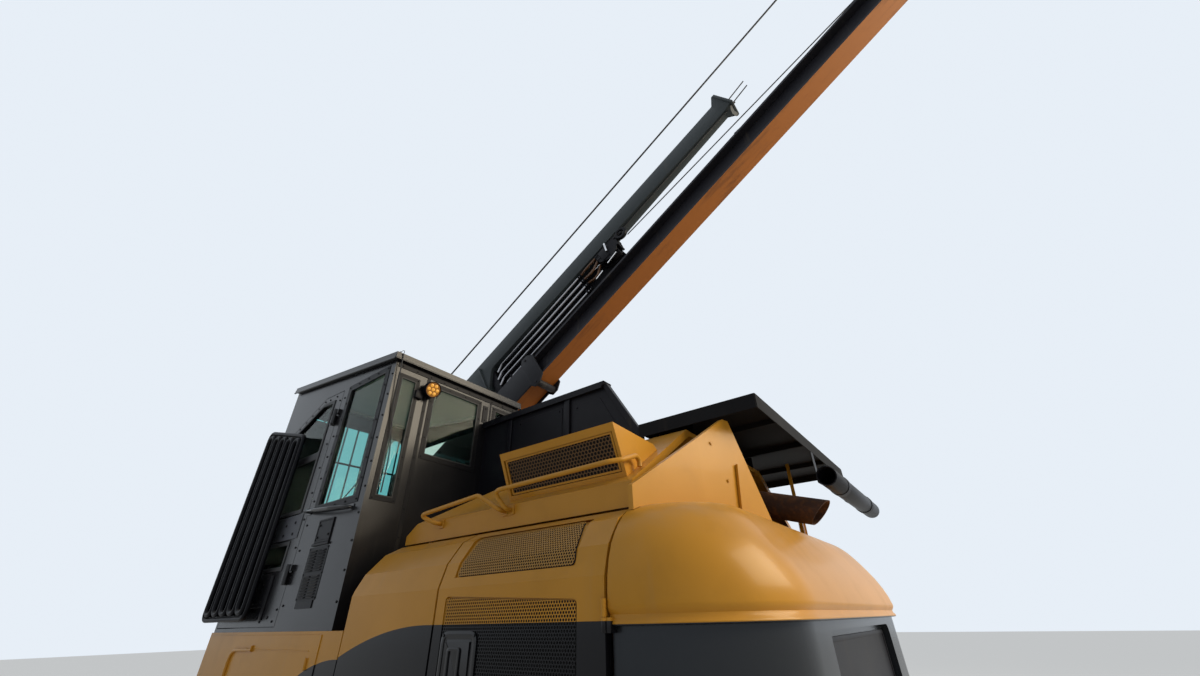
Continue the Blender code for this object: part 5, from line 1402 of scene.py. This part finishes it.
def make_canopy():
    """A black sheet roof over the exhaust with its edges folded down, on two thin brackets."""
    low, high = CANOPY_LOW, CANOPY_HIGH
    top = profile(rectangle((low.x, low.y), (high.x, high.y), 0.012, 4), "Z", high.z - 0.006, high.z)
    shapes = [softened(top, 0.0018, 2)]
    for a, b in (
        ((high.x - 0.006, low.y + 0.004, low.z), (high.x, high.y - 0.004, high.z - 0.003)),
        ((low.x, low.y + 0.004, low.z + 0.03), (low.x + 0.006, high.y - 0.004, high.z - 0.003)),
        ((low.x + 0.004, high.y - 0.006, low.z), (high.x - 0.004, high.y, high.z - 0.003)),
        ((low.x + 0.004, low.y, low.z + 0.03), (high.x - 0.004, low.y + 0.006, high.z - 0.003)),
    ):
        shapes.append(bar(a, b, 0.0015, 1))
    for x in (-1.05, -0.45, 0.15):
        shapes.append(bar((x, low.y + 0.02, high.z - 0.040), (x + 0.030, high.y - 0.02, high.z - 0.006), 0.002, 1))
    for x in (-0.56, 0.46):
        shapes.append(bar((x, 1.70, 2.6405), (x + 0.006, HOUSE_REAR - 0.02, high.z - 0.008), 0.0015, 1))
        shapes.append(bar((x - 0.02, 1.70, 2.6405), (x + 0.05, HOUSE_REAR - 0.02, 2.6470), 0.0015, 1))
        spots = [Vector((x + 0.028, y, 2.647)) for y in (1.74, 1.91)]
        shapes.append(bolts(spots, (0.0, 0.0, 1.0), 0.009, 0.007))
    made = settle(joined(shapes), "canopy_sheet", "matte_black", "upper")
    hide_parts("canopy")


def make_rest_tube():
    """A stub of pipe hung under the canopy's rear edge, open at its ends."""
    radius, wall, y, z = 0.0625, 0.008, 2.55, 2.40
    pipe = rod((-0.10, y, z), (-1.55, y, z), radius, 56)
    pick(pipe, "FACE", lambda place, normal: abs(normal.x) > 0.9)
    bpy.ops.mesh.inset(thickness=wall, use_individual=True)
    bpy.ops.mesh.bridge_edge_loops()
    back_to_object()
    softened(pipe, 0.0015, 2, 50)
    shapes = [pipe]
    for x in (-0.45, -1.25):
        hanger = [(2.424, 2.66), (2.424, 2.44), (2.50, 2.385), (2.50, 2.45), (2.430, 2.50), (2.430, 2.66)]
        shapes.append(softened(profile(hanger, "X", x - 0.03, x + 0.03), 0.002, 1))
        shapes.append(pin((x - 0.032, y, z), (x + 0.032, y, z), radius + 0.004, 40, 0.001, 1, 50))
    made = settle(joined(shapes), "rest_pipe", "satin", "upper", 40)
    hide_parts("rest_tube")


def make_tunnel_trim():
    """Rolled rim, posts and panel edges on the black wall beside the boom."""
    x = 0.5605
    shapes = [
        tube(bent([(0.54, -0.01, 3.165), (0.54, 1.315, 3.165)], 0.1), 0.030, 5),
        bar((x, 0.930, 2.46), (x + 0.020, 0.985, 3.150), 0.003, 2),
        bar((x, 0.300, 2.26), (x + 0.014, 0.340, 3.150), 0.003, 2),
    ]
    edge = [(1.612, 2.655), (1.612, 2.735), (1.342, 3.168), (1.300, 3.168), (1.560, 2.728), (1.560, 2.655)]
    shapes.append(softened(profile(edge, "X", x, x + 0.012), 0.002, 1))
    panel = profile(rounded([(0.40, 2.62), (0.90, 2.67), (0.90, 3.10), (0.40, 3.10)], 0.02), "X", x, x + 0.004)
    other = profile(rounded([(1.02, 2.68), (1.50, 2.68), (1.27, 3.08), (1.02, 3.08)], 0.02), "X", x, x + 0.004)
    shapes += [softened(panel, 0.0015, 1), softened(other, 0.0015, 1)]
    spots = [
        Vector((x + 0.004, y, z))
        for y, z in ((0.43, 2.66), (0.87, 2.70), (0.87, 3.07), (0.43, 3.07), (1.05, 2.71), (1.45, 2.71), (1.05, 3.05))
    ]
    shapes.append(bolts(spots, (1.0, 0.0, 0.0), 0.007, 0.006))
    settle(joined(shapes), "tunnel_wall_trim", "satin", "upper")


# middle of the wing's slanting end wall, and the heights of its gusset
WING_X, WING_FOOT, WING_TOP = 0.87, 2.1003, 2.385


def make_wing_trim():
    """A triangular gusset and a foot flange on each end wall of the hood, with two bolts in the left one."""
    shapes = []
    slant = atan(0.25)
    for side in (1, -1):
        inner = 0.315 if side > 0 else 0.415
        turn = Matrix.Translation((side * WING_X, HOUSE_REAR + 0.177, 0.0)) @ Matrix.Rotation(-side * slant, 4, "Z")
        foot, low, top = ((x - WING_X) / cos(slant) for x in (inner + 0.012, inner + 0.285, inner + 0.255))
        plate = profile([(side * foot, WING_FOOT), (side * low, WING_FOOT), (side * top, WING_TOP)], "Y", 0.0, 0.006)
        edge = profile([
            (side * (low - 0.006), WING_FOOT), (side * (low + 0.006), WING_FOOT),
            (side * (top + 0.004), WING_TOP), (side * (top - 0.006), WING_TOP),
        ], "Y", 0.0, 0.016)
        for made in (softened(plate, 0.0012, 1), softened(edge, 0.0015, 1)):
            made.matrix_world = turn @ made.matrix_world
            shapes.append(seated(made))
    spots = [Vector((x, 2.1470 + (WING_X - x) / 4, z)) for x, z in ((0.66, 2.28), (0.76, 2.47))]
    shapes.append(bolts(spots, (0.243, 0.97, 0.0), 0.008, 0.006))
    settle(joined(shapes), "wing_trim", "yellow", "upper")


def make_base_panel():
    """Raised panel, bent tube and peg on the side of the cab's base, and the pale strip above it."""
    x = SIDE_X
    panel = profile(rectangle((-1.900, 1.315), (-0.135, 1.612), 0.010), "X", x - 0.002, x + 0.005)
    fold = block((x, -1.050, 1.526), (x + 0.0075, -0.245, 1.533))
    plates = softened(joined([panel, fold]), 0.0015, 1)
    loop = tube(bent([
        (x + 0.010, -1.400, 1.312), (x + 0.010, -1.400, 1.523), (x + 0.010, -1.050, 1.527),
    ], 0.085, 8), 0.0115, 5)
    cap = pin((x + 0.010, -1.062, 1.520), (x + 0.010, -1.062, 1.552), 0.009, 16, 0.002, 2)
    peg = pin((x + 0.009, -0.236, 1.435), (x + 0.009, -0.244, 1.496), 0.009, 16, 0.003, 2)
    settle(joined([plates, loop, cap, peg]), "base_panel", "base", "upper")
    strip = bar((x - 0.030, -0.725, 1.6295), (x - 0.004, -0.500, 1.6330), 0.001, 1)
    settle(strip, "base_pale_strip", "webbing", "upper")


def make_seat():
    """The operator's seat: a sprung base, two filled cushions, and arm rests with padded tops."""
    x, floor_z = 0.82, 1.690
    parts = [bar((0.64, -1.13, floor_z), (1.00, -0.72, floor_z + 0.035), 0.006, 2)]
    for k in range(6):
        z = floor_z + 0.035 + 0.034 * k
        grow = 0.0 if k % 2 else 0.012
        parts.append(bar((0.655 - grow, -1.115 - grow, z), (0.985 + grow, -0.735 + grow, z + 0.034), 0.010, 2))
    parts.append(bar((0.59, -1.25, 1.932), (1.05, -0.70, 1.975), 0.012, 3))
    shell = profile([(-0.70, 2.03), (-0.63, 2.03), (-0.505, 2.76), (-0.530, 2.77)], "X", 0.60, 1.04)
    parts.append(softened(shell, 0.010, 3))
    parts.append(bar((0.47, -0.90, 2.02), (1.17, -0.82, 2.09), 0.015, 3))
    for side in (-1, 1):
        near, far = sorted((x + side * 0.290, x + side * 0.370))
        parts.append(bar((near, -1.23, 2.165), (far, -0.77, 2.215), 0.012, 3))
        near, far = sorted((x + side * 0.315, x + side * 0.345))
        parts.append(bar((near, -0.89, 2.04), (far, -0.83, 2.17), 0.006, 2))
    made = settle(joined(parts), "seat_frame", "plastic", "upper")
    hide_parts("seat")

    pads = [
        ("seat_cushion", bar((0.580, -1.262, 1.972), (1.060, -0.715, 2.078), 0.030, 4), 0.014),
        (
            "seat_back",
            softened(
                profile([(-0.715, 2.085), (-0.640, 2.070), (-0.535, 2.755), (-0.600, 2.765)], "X", 0.605, 1.035),
                0.025, 4,
            ),
            0.014,
        ),
        ("armrest_left", bar((1.112, -1.235, 2.215), (1.188, -0.765, 2.250), 0.012, 4), 0.006),
        ("armrest_right", bar((0.452, -1.235, 2.215), (0.528, -0.765, 2.250), 0.012, 4), 0.006),
    ]
    for name, pad, cap in pads:
        settle(stuffed(pad, cap), name, "cloth", "upper", 60)


def make_cab_inside():
    """Roof lining, wall lining, console and the grille before the windscreen."""
    low_x, high_x = CAB_INNER_X + 0.048, SIDE_X - 0.048
    front, rear = CAB_FRONT + 0.050, CAB_REAR - 0.060
    lining = [
        (front, roof_z(front) - 0.055), (rear, roof_z(rear) - 0.055), (rear, roof_z(rear) - 0.020),
        (front, roof_z(front) - 0.020),
    ]
    lining = profile(lining, "X", low_x, high_x)
    pick(lining, "FACE", lambda place, normal: normal.z < -0.9)
    bpy.ops.mesh.inset(thickness=0.060)
    drawn_out((0.0, 0.0, 0.018))
    back_to_object()
    settle(softened(lining, 0.012, 3), "roof_lining_panel", "lining", "upper")

    shapes = []
    shapes.append(bar((low_x, front, 1.690), (low_x + 0.020, rear, 2.640), 0.008, 2))
    shapes.append(bar((low_x, -1.30, 1.690), (low_x + 0.250, -0.30, 2.130), 0.030, 3))
    shapes.append(bar((0.30, front + 0.010, 1.690), (1.30, front + 0.180, 2.120), 0.030, 3))
    shapes.append(bar((0.985, front + 0.020, 2.120), (1.380, front + 0.045, 3.460), 0.010, 2))
    column = tube(
        bent([(0.82, front + 0.12, 1.70), (0.82, front + 0.20, 2.15), (0.82, front + 0.36, 2.35)], 0.1), 0.030,
        5,
    )
    shapes.append(column)
    for x in (1.15, 0.49):
        shapes.append(tube(bent([(x, -1.16, 2.255), (x, -1.17, 2.34), (x, -1.20, 2.40)], 0.08), 0.014, 4))
        knob = rod((x, -1.200, 2.395), (x, -1.225, 2.465), 0.026, 20)
        shapes.append(softened(knob, 0.012, 4))
    settle(joined(shapes), "cab_inside", "plastic", "upper")

    bars = []
    y = CAB_FRONT - 0.020
    for x in evenly(0.30, 1.42, 10):
        bars.append(bar((x - 0.005, y - 0.004, 2.16), (x + 0.005, y + 0.0195, 3.54), 0.002, 1))
    for z in (2.17, 2.64, 3.12, 3.52):
        bars.append(bar((0.26, y - 0.002, z - 0.010), (1.46, y + 0.006, z + 0.010), 0.002, 1))
    settle(joined(bars), "windscreen_grille", "guard", "upper")


# Boom fittings, modelled level round the pivot: x across, y along the beam, z square to it

def tilted(piece):
    piece.matrix_world = BOOM_TURN @ piece.matrix_world
    return seated(piece)


def on_boom(x, along, up):
    return BOOM_TURN @ Vector((x, along, up))


HOSE_LOW, HOSE_HIGH, HOSE_END = 1.28, 1.52, 4.57
BEAM_TOP = 0.79
ROPE_X, ROPE_UP = 0.35, 1.495
ROPE_RADIUS, HAUL_RADIUS = 0.0095, 0.0065
TAIL_MAST, HEAD_MAST = 5.74, -4.335


def make_ropes():
    """The long rope on its two masts, and the rope from the trolley's sheave to the tail."""
    rope = tube([on_boom(ROPE_X, HEAD_MAST, ROPE_UP), on_boom(ROPE_X, TAIL_MAST, ROPE_UP)], ROPE_RADIUS, 4)
    settle(rope, "stroke_rope", "wire_rope", "stroke", 60)
    shapes = []
    for along, base, foot in ((TAIL_MAST, TAIL_MAST + 0.24, BEAM_TOP - 0.002), (HEAD_MAST, HEAD_MAST, 0.835)):
        shapes.append(tilted(tube(bent([
            (-0.10, base, foot + 0.022), (0.34, base, foot + 0.022), (ROPE_X, base, foot + 0.14),
            (ROPE_X, along, ROPE_UP + 0.012),
        ], 0.10, 6), 0.022, 5)))
        shapes.append(tilted(bar((-0.12, base - 0.05, foot), (0.12, base + 0.05, foot + 0.012), 0.002, 1)))
        shapes.append(
            tilted(pin((ROPE_X, along - 0.035, ROPE_UP), (ROPE_X, along + 0.035, ROPE_UP), 0.020, 20, 0.003, 2))
        )
        shapes.append(
            tilted(
                bolts(
                    [Vector((a, base + b, foot + 0.012)) for a in (-0.09, 0.09) for b in (-0.032, 0.032)],
                    (0.0, 0.0, 1.0), 0.010, 0.008,
                )
            )
        )
    settle(joined(shapes), "rope_masts", "beam", "stroke")

    start, end = on_boom(0.0, 2.735, 1.165), on_boom(0.0, 6.70, 0.895)
    pulled = tube([start.lerp(end, t) for t in evenly(0.0, 1.0, 12)], HAUL_RADIUS, 4)
    settle(pulled, "haul_rope", "wire_rope", None, 60)
    tuple(start)
    tuple(end)
    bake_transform(pulled)
    anchor = profile(
        [(6.62, BEAM_TOP - 0.001), (6.80, BEAM_TOP - 0.001), (6.76, 0.932), (6.68, 0.932)], "X", -0.014, 0.014,
    )
    anchor = tilted(softened(anchor, 0.004, 2))
    eye = tilted(pin((-0.024, 6.715, 0.895), (0.024, 6.715, 0.895), 0.019, 20, 0.003, 2))
    settle(joined([anchor, eye]), "tail_anchor", "beam", "stroke")

    back = tube([on_boom(0.03, 2.70, 1.2685), on_boom(0.03, 4.60, 1.2685)], HAUL_RADIUS, 4)
    rods = [
        tilted(rod((a, 4.44, 1.345 + b), (a, 4.86, 1.385 + b), 0.0065, 12))
        for a, b in ((-0.025, 0.0), (0.025, 0.035))
    ]
    rods.append(tilted(bar((-0.05, 4.44, 1.30), (0.05, 4.56, 1.42), 0.01, 2)))
    settle(joined([back] + rods), "beam_end_rods", "wire_rope", "boom")


def make_beam_end():
    """Rolled end plate of the hose beam, a stiffener at its foot and the pale tie on its end."""
    plate = profile(
        rounded([(-0.110, 1.215), (0.110, 1.215), (0.110, 1.592), (-0.110, 1.592)], 0.050), "Y",
        HOSE_END - 0.036, HOSE_END - 0.012,
    )
    shapes = [tilted(softened(plate, 0.006, 3))]
    for side in (-1, 1):
        stiffener = block((min(side * 0.09, side * 0.135), 0.235, 0.884), (max(side * 0.09, side * 0.135), 0.250, 1.46))
        shapes.append(tilted(softened(stiffener, 0.003, 2)))
        foot = block((min(side * 0.09, side * 0.17), -0.30, 0.8805), (max(side * 0.09, side * 0.17), 0.26, 0.895))
        shapes.append(tilted(softened(foot, 0.003, 1)))
        spots = [Vector((side * 0.145, s, 0.895)) for s in evenly(-0.24, 0.18, 4)]
        shapes.append(tilted(bolts(spots, (0.0, 0.0, 1.0), 0.013, 0.012)))
    settle(joined(shapes), "hose_beam_plates", "hose_beam", "boom")

    middle = [
        on_boom(0.06, s, w)
        for s, w in ((4.56, 1.40), (4.575, 1.33), (4.55, 1.27), (4.50, 1.20), (4.465, 1.13), (4.45, 1.05))
    ]
    across = (BOOM_TURN.to_3x3() @ Vector((0.0, 0.9, 0.45))).normalized()
    none_picked()
    bpy.ops.mesh.primitive_grid_add(x_subdivisions=len(middle) - 1, y_subdivisions=1, size=1.0)
    strap = bpy.context.object
    order = sorted({round(point.co.x, 4) for point in strap.data.vertices})
    for point in strap.data.vertices:
        spot = middle[order.index(round(point.co.x, 4))]
        point.co = spot + across * (0.022 if point.co.y > 0 else -0.022)
    thickened(strap, 0.004, 0.0)
    settle(softened(strap, 0.001, 1), "tie_strap", "webbing", "boom", 60)


def make_cradle():
    """Cheeks, saddle and rear guides of the sliding beam's cradle, with its rollers and pivot pin."""
    low, high, front, rear, inner = 0.49, 0.79, -1.85, 1.00, 0.1335
    cheek = rounded([
        (front, low - 0.10, 0.03), (front, high + 0.09, 0.03), (0.27, high + 0.09, 0.03), (0.32, high),
        (0.32, low - 0.03),
        (0.26, low - 0.16), (0.16, -0.13, 0.12), (-0.16, -0.13, 0.12), (-0.45, low - 0.16, 0.12),
        (-1.05, low - 0.18, 0.12),
        (-1.25, -0.10, 0.06), (-1.46, -0.10, 0.06),
    ], 0.03)
    saddle = [(-0.42, low - 0.015), (0.30, low - 0.015), (0.24, 0.30), (0.13, -0.10), (-0.13, -0.10), (-0.42, 0.31)]
    guide = rounded([
        (0.24, low - 0.025, 0), (0.24, high + 0.025, 0), (0.80, high + 0.025), (0.84, high + 0.085),
        (0.92, high + 0.085),
        (rear, high + 0.02), (rear, low - 0.02), (0.92, low - 0.085), (0.84, low - 0.085), (0.80, low - 0.025),
    ], 0.015)
    shapes = [
        softened(profile(saddle, "X", -0.161, 0.161), 0.004, 2),
        bar((-0.161, front + 0.006, low - 0.09), (0.161, -0.40, low - 0.015), 0.004, 2),
        bar((-0.161, front + 0.006, high + 0.015), (0.161, 0.25, high + 0.082), 0.004, 2),
        pin((-0.268, 0.0, 0.0), (0.268, 0.0, 0.0), 0.060, 36, 0.006, 2),
    ]
    for side in (-1, 1):
        for outline, near, far in ((cheek, 0.160, 0.190), (guide, inner, 0.150)):
            shapes.append(softened(profile(outline, "X", *sorted((side * near, side * far))), 0.003, 2))
        liner = block(
            (min(side * inner, side * 0.161), front + 0.01, low + 0.01),
            (max(side * inner, side * 0.161), 0.26, high - 0.01),
        )
        shapes.append(softened(liner, 0.002, 1))
        spots = [Vector((side * 0.190, s, high + 0.045)) for s in evenly(front + 0.12, 0.12, 8)]
        shapes.append(bolts(spots, (float(side), 0.0, 0.0), 0.014, 0.012))
    for s in (front + 0.12, rear - 0.12):
        for w in (low - 0.0405, high + 0.0405):
            shapes.append(pin((-0.148, s, w), (0.148, s, w), 0.040, 28, 0.004, 2))
            shapes.append(pin((-0.158, s, w), (0.158, s, w), 0.016, 6, 0.002, 1))
    made = settle(tilted(joined(shapes)), "cradle", "cradle", "boom")
    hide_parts("boom_cradle")


def make_hose_beam():
    """The upper beam, deep at its foot and narrowing across to a rolled end."""
    side = rounded([
        (-0.35, 0.8803, 0), (0.22, 0.8803, 0), (0.27, 1.08, 0.05), (0.40, 1.28, 0.10), (HOSE_END - 0.12, 1.28, 0.02),
        (HOSE_END - 0.03, 1.24, 0.01), (HOSE_END, 1.24, 0.005), (HOSE_END, 1.58, 0.005), (HOSE_END - 0.04, 1.58, 0.01),
        (HOSE_END - 0.12, 1.52, 0.02), (-0.10, 1.52, 0.05),
    ], 0.05, 4)
    beam = profile(side, "X", -0.10, 0.10)
    pick(beam, "VERT", lambda place: HOSE_END - 0.16 < place.y < HOSE_END - 0.09)
    bpy.ops.transform.resize(value=(0.52, 1.0, 1.0), center_override=(0.0, 0.0, 0.0))
    back_to_object()
    made = settle(tilted(softened(beam, 0.006, 2)), "upper_beam", "hose_beam", "boom")
    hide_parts("hose_beam")


LINE_RADIUS = 0.0150
# each line's place across, height, and start along the beam
LINES = [
    (0.045, 1.250, 0.52), (0.005, 1.195, 0.50), (0.045, 1.145, 0.48), (0.005, 1.090, 0.48),
    (0.045, 1.040, 0.48), (0.005, 0.985, 0.48),
]


def make_pipe_run():
    """Steel lines below the hose beam, held by two clamps."""
    lines = []
    for x, up, start in LINES:
        lines.append(tilted(tube(bent([
            (x, start - 0.09, up - 0.05), (x, start, up), (x, 1.99, up),
        ], 0.10, 5), LINE_RADIUS, 5)))
    settle(joined(lines), "hydraulic_lines", "line_steel", "boom", 60)
    shapes = []
    tray = profile(
        [(-0.086, 0.893), (-0.034, 0.893), (-0.034, 0.899), (-0.078, 0.899), (-0.078, 1.279), (-0.086, 1.279)],
        "Y", 0.34, 2.56,
    )
    shapes.append(tilted(softened(tray, 0.001, 1)))
    for s in (0.56, 1.94):
        shapes.append(tilted(bar((-0.079, s - 0.014, 0.960), (0.030, s + 0.014, 1.279), 0.004, 2)))
    shapes.append(tilted(bar((-0.050, 0.30, 0.900), (0.060, 0.40, 1.270), 0.010, 2)))
    for s in (1.975, 2.005):
        for x, up, start in LINES:
            nut = rod((x, s - 0.012, up), (x, s + 0.012, up), 0.021, 6)
            shapes.append(tilted(softened(nut, 0.002, 1)))
    settle(joined(shapes), "line_clamps", "satin", "boom")


# where the carrier's hoses enter it: place across and height
CARRIER_PORTS = [(0.055, 1.245), (0.015, 1.215), (0.055, 1.175), (0.015, 1.140)]


def make_carrier_hoses():
    """Four short hoses that bow down between the steel lines and the carrier."""
    for k, ((a, w), (x, up, start)) in enumerate(zip(CARRIER_PORTS, LINES)):
        drop = 0.035 + 0.020 * k
        ends = (Vector((x, 2.015, up)), Vector((a, 2.272, w)))
        count = 24
        points = []
        for i in range(count + 1):
            t = i / count
            along = ends[0].lerp(ends[1], t)
            swell = sin(pi * t) ** 1.6
            points.append(on_boom(along.x + 0.030 * swell, along.y, along.z - drop * swell))
        hose = tube(points, 0.0140, 3)
        settle(hose, "carrier_hose_%d" % (k + 1), "hose_brown", "boom", 60)


def make_trolley():
    """Hose carrier: two cheeks, a grooved sheave, a valve block and its fittings."""
    low = HOSE_LOW
    shapes = []
    for side in (-1, 1):
        near, far = sorted((side * 0.052, side * 0.064))
        cheek = rounded([
            (2.28, low - 0.002), (2.28, low - 0.16), (2.40, low - 0.25), (2.52, low - 0.22), (2.60, low - 0.13),
            (2.62, low - 0.002),
        ], 0.03)
        shapes.append(softened(profile(cheek, "X", near, far), 0.002, 1))
    for s in (2.36, 2.60):
        shapes.append(pin((-0.070, s, low - 0.05), (0.070, s, low - 0.05), 0.017, 16, 0.002, 1))
        shapes.append(pin((-0.070, s - 0.02, low - 0.17), (0.070, s - 0.02, low - 0.17), 0.014, 16, 0.002, 1))
    block_a = bar((-0.045, 2.33, low - 0.20), (0.075, 2.44, low - 0.03), 0.008, 2)
    block_b = bar((-0.035, 2.42, low - 0.24), (0.035, 2.54, low - 0.10), 0.008, 2)
    shapes += [block_a, block_b]
    for a, w in CARRIER_PORTS:
        shapes.append(pin((a, 2.27, w), (a, 2.33, w), 0.019, 6, 0.002, 1))
    wheel = rod((0.036, 2.69, low - 0.085), (0.078, 2.69, low - 0.085), 0.078, 36)
    pick(wheel, "FACE", lambda place, normal: abs(normal.x) > 0.9)
    bpy.ops.mesh.inset(thickness=0.012, use_individual=True)
    bpy.ops.mesh.inset(thickness=0.022, use_individual=True)
    bpy.ops.mesh.bridge_edge_loops()
    back_to_object()
    shapes.append(softened(wheel, 0.004, 2))
    for angle in (0.5, 0.5 + 2 * pi / 3, 0.5 + 4 * pi / 3):
        spoke = Vector((0.057, 2.69 + 0.062 * cos(angle), low - 0.085 + 0.062 * sin(angle)))
        shapes.append(rod((0.057, 2.69, low - 0.085), spoke, 0.008, 10))
    shapes.append(pin((0.030, 2.69, low - 0.085), (0.084, 2.69, low - 0.085), 0.018, 16, 0.002, 1))
    shapes.append(bar((0.030, 2.40, low - 0.115), (0.044, 2.71, low - 0.055), 0.005, 2))
    made = settle(tilted(joined(shapes)), "hose_carrier", "satin", "boom")
    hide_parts("hose_trolley")
    bars = [
        pin((0.092, 2.47, low - 0.02), (0.092, 2.43, low - 0.15), 0.013, 12, 0.002, 1),
        pin((0.070, 2.34, low - 0.285), (0.070, 2.50, low - 0.265), 0.008, 12, 0.002, 1),
        pin((0.060, 2.12, low - 0.315), (0.060, 2.24, low - 0.300), 0.008, 12, 0.002, 1),
    ]
    settle(tilted(joined(bars)), "carrier_pins", "chrome", "boom")


set_camera()
set_stage()
paint_nodes()
make_weight()
make_grilles()
make_scoop_mesh()
make_window_frames()
make_roof_edge()
make_left_wall_fittings()
make_door_trim()
make_guard()
make_work_lamp()
make_cab_wires()
make_rails()
make_exhaust()
make_canopy()
make_rest_tube()
make_tunnel_trim()
make_wing_trim()
make_ropes()
make_beam_end()
make_pipe_run()
make_trolley()
make_carrier_hoses()
make_cradle()
make_hose_beam()
make_base_panel()
make_cab_inside()
make_seat()
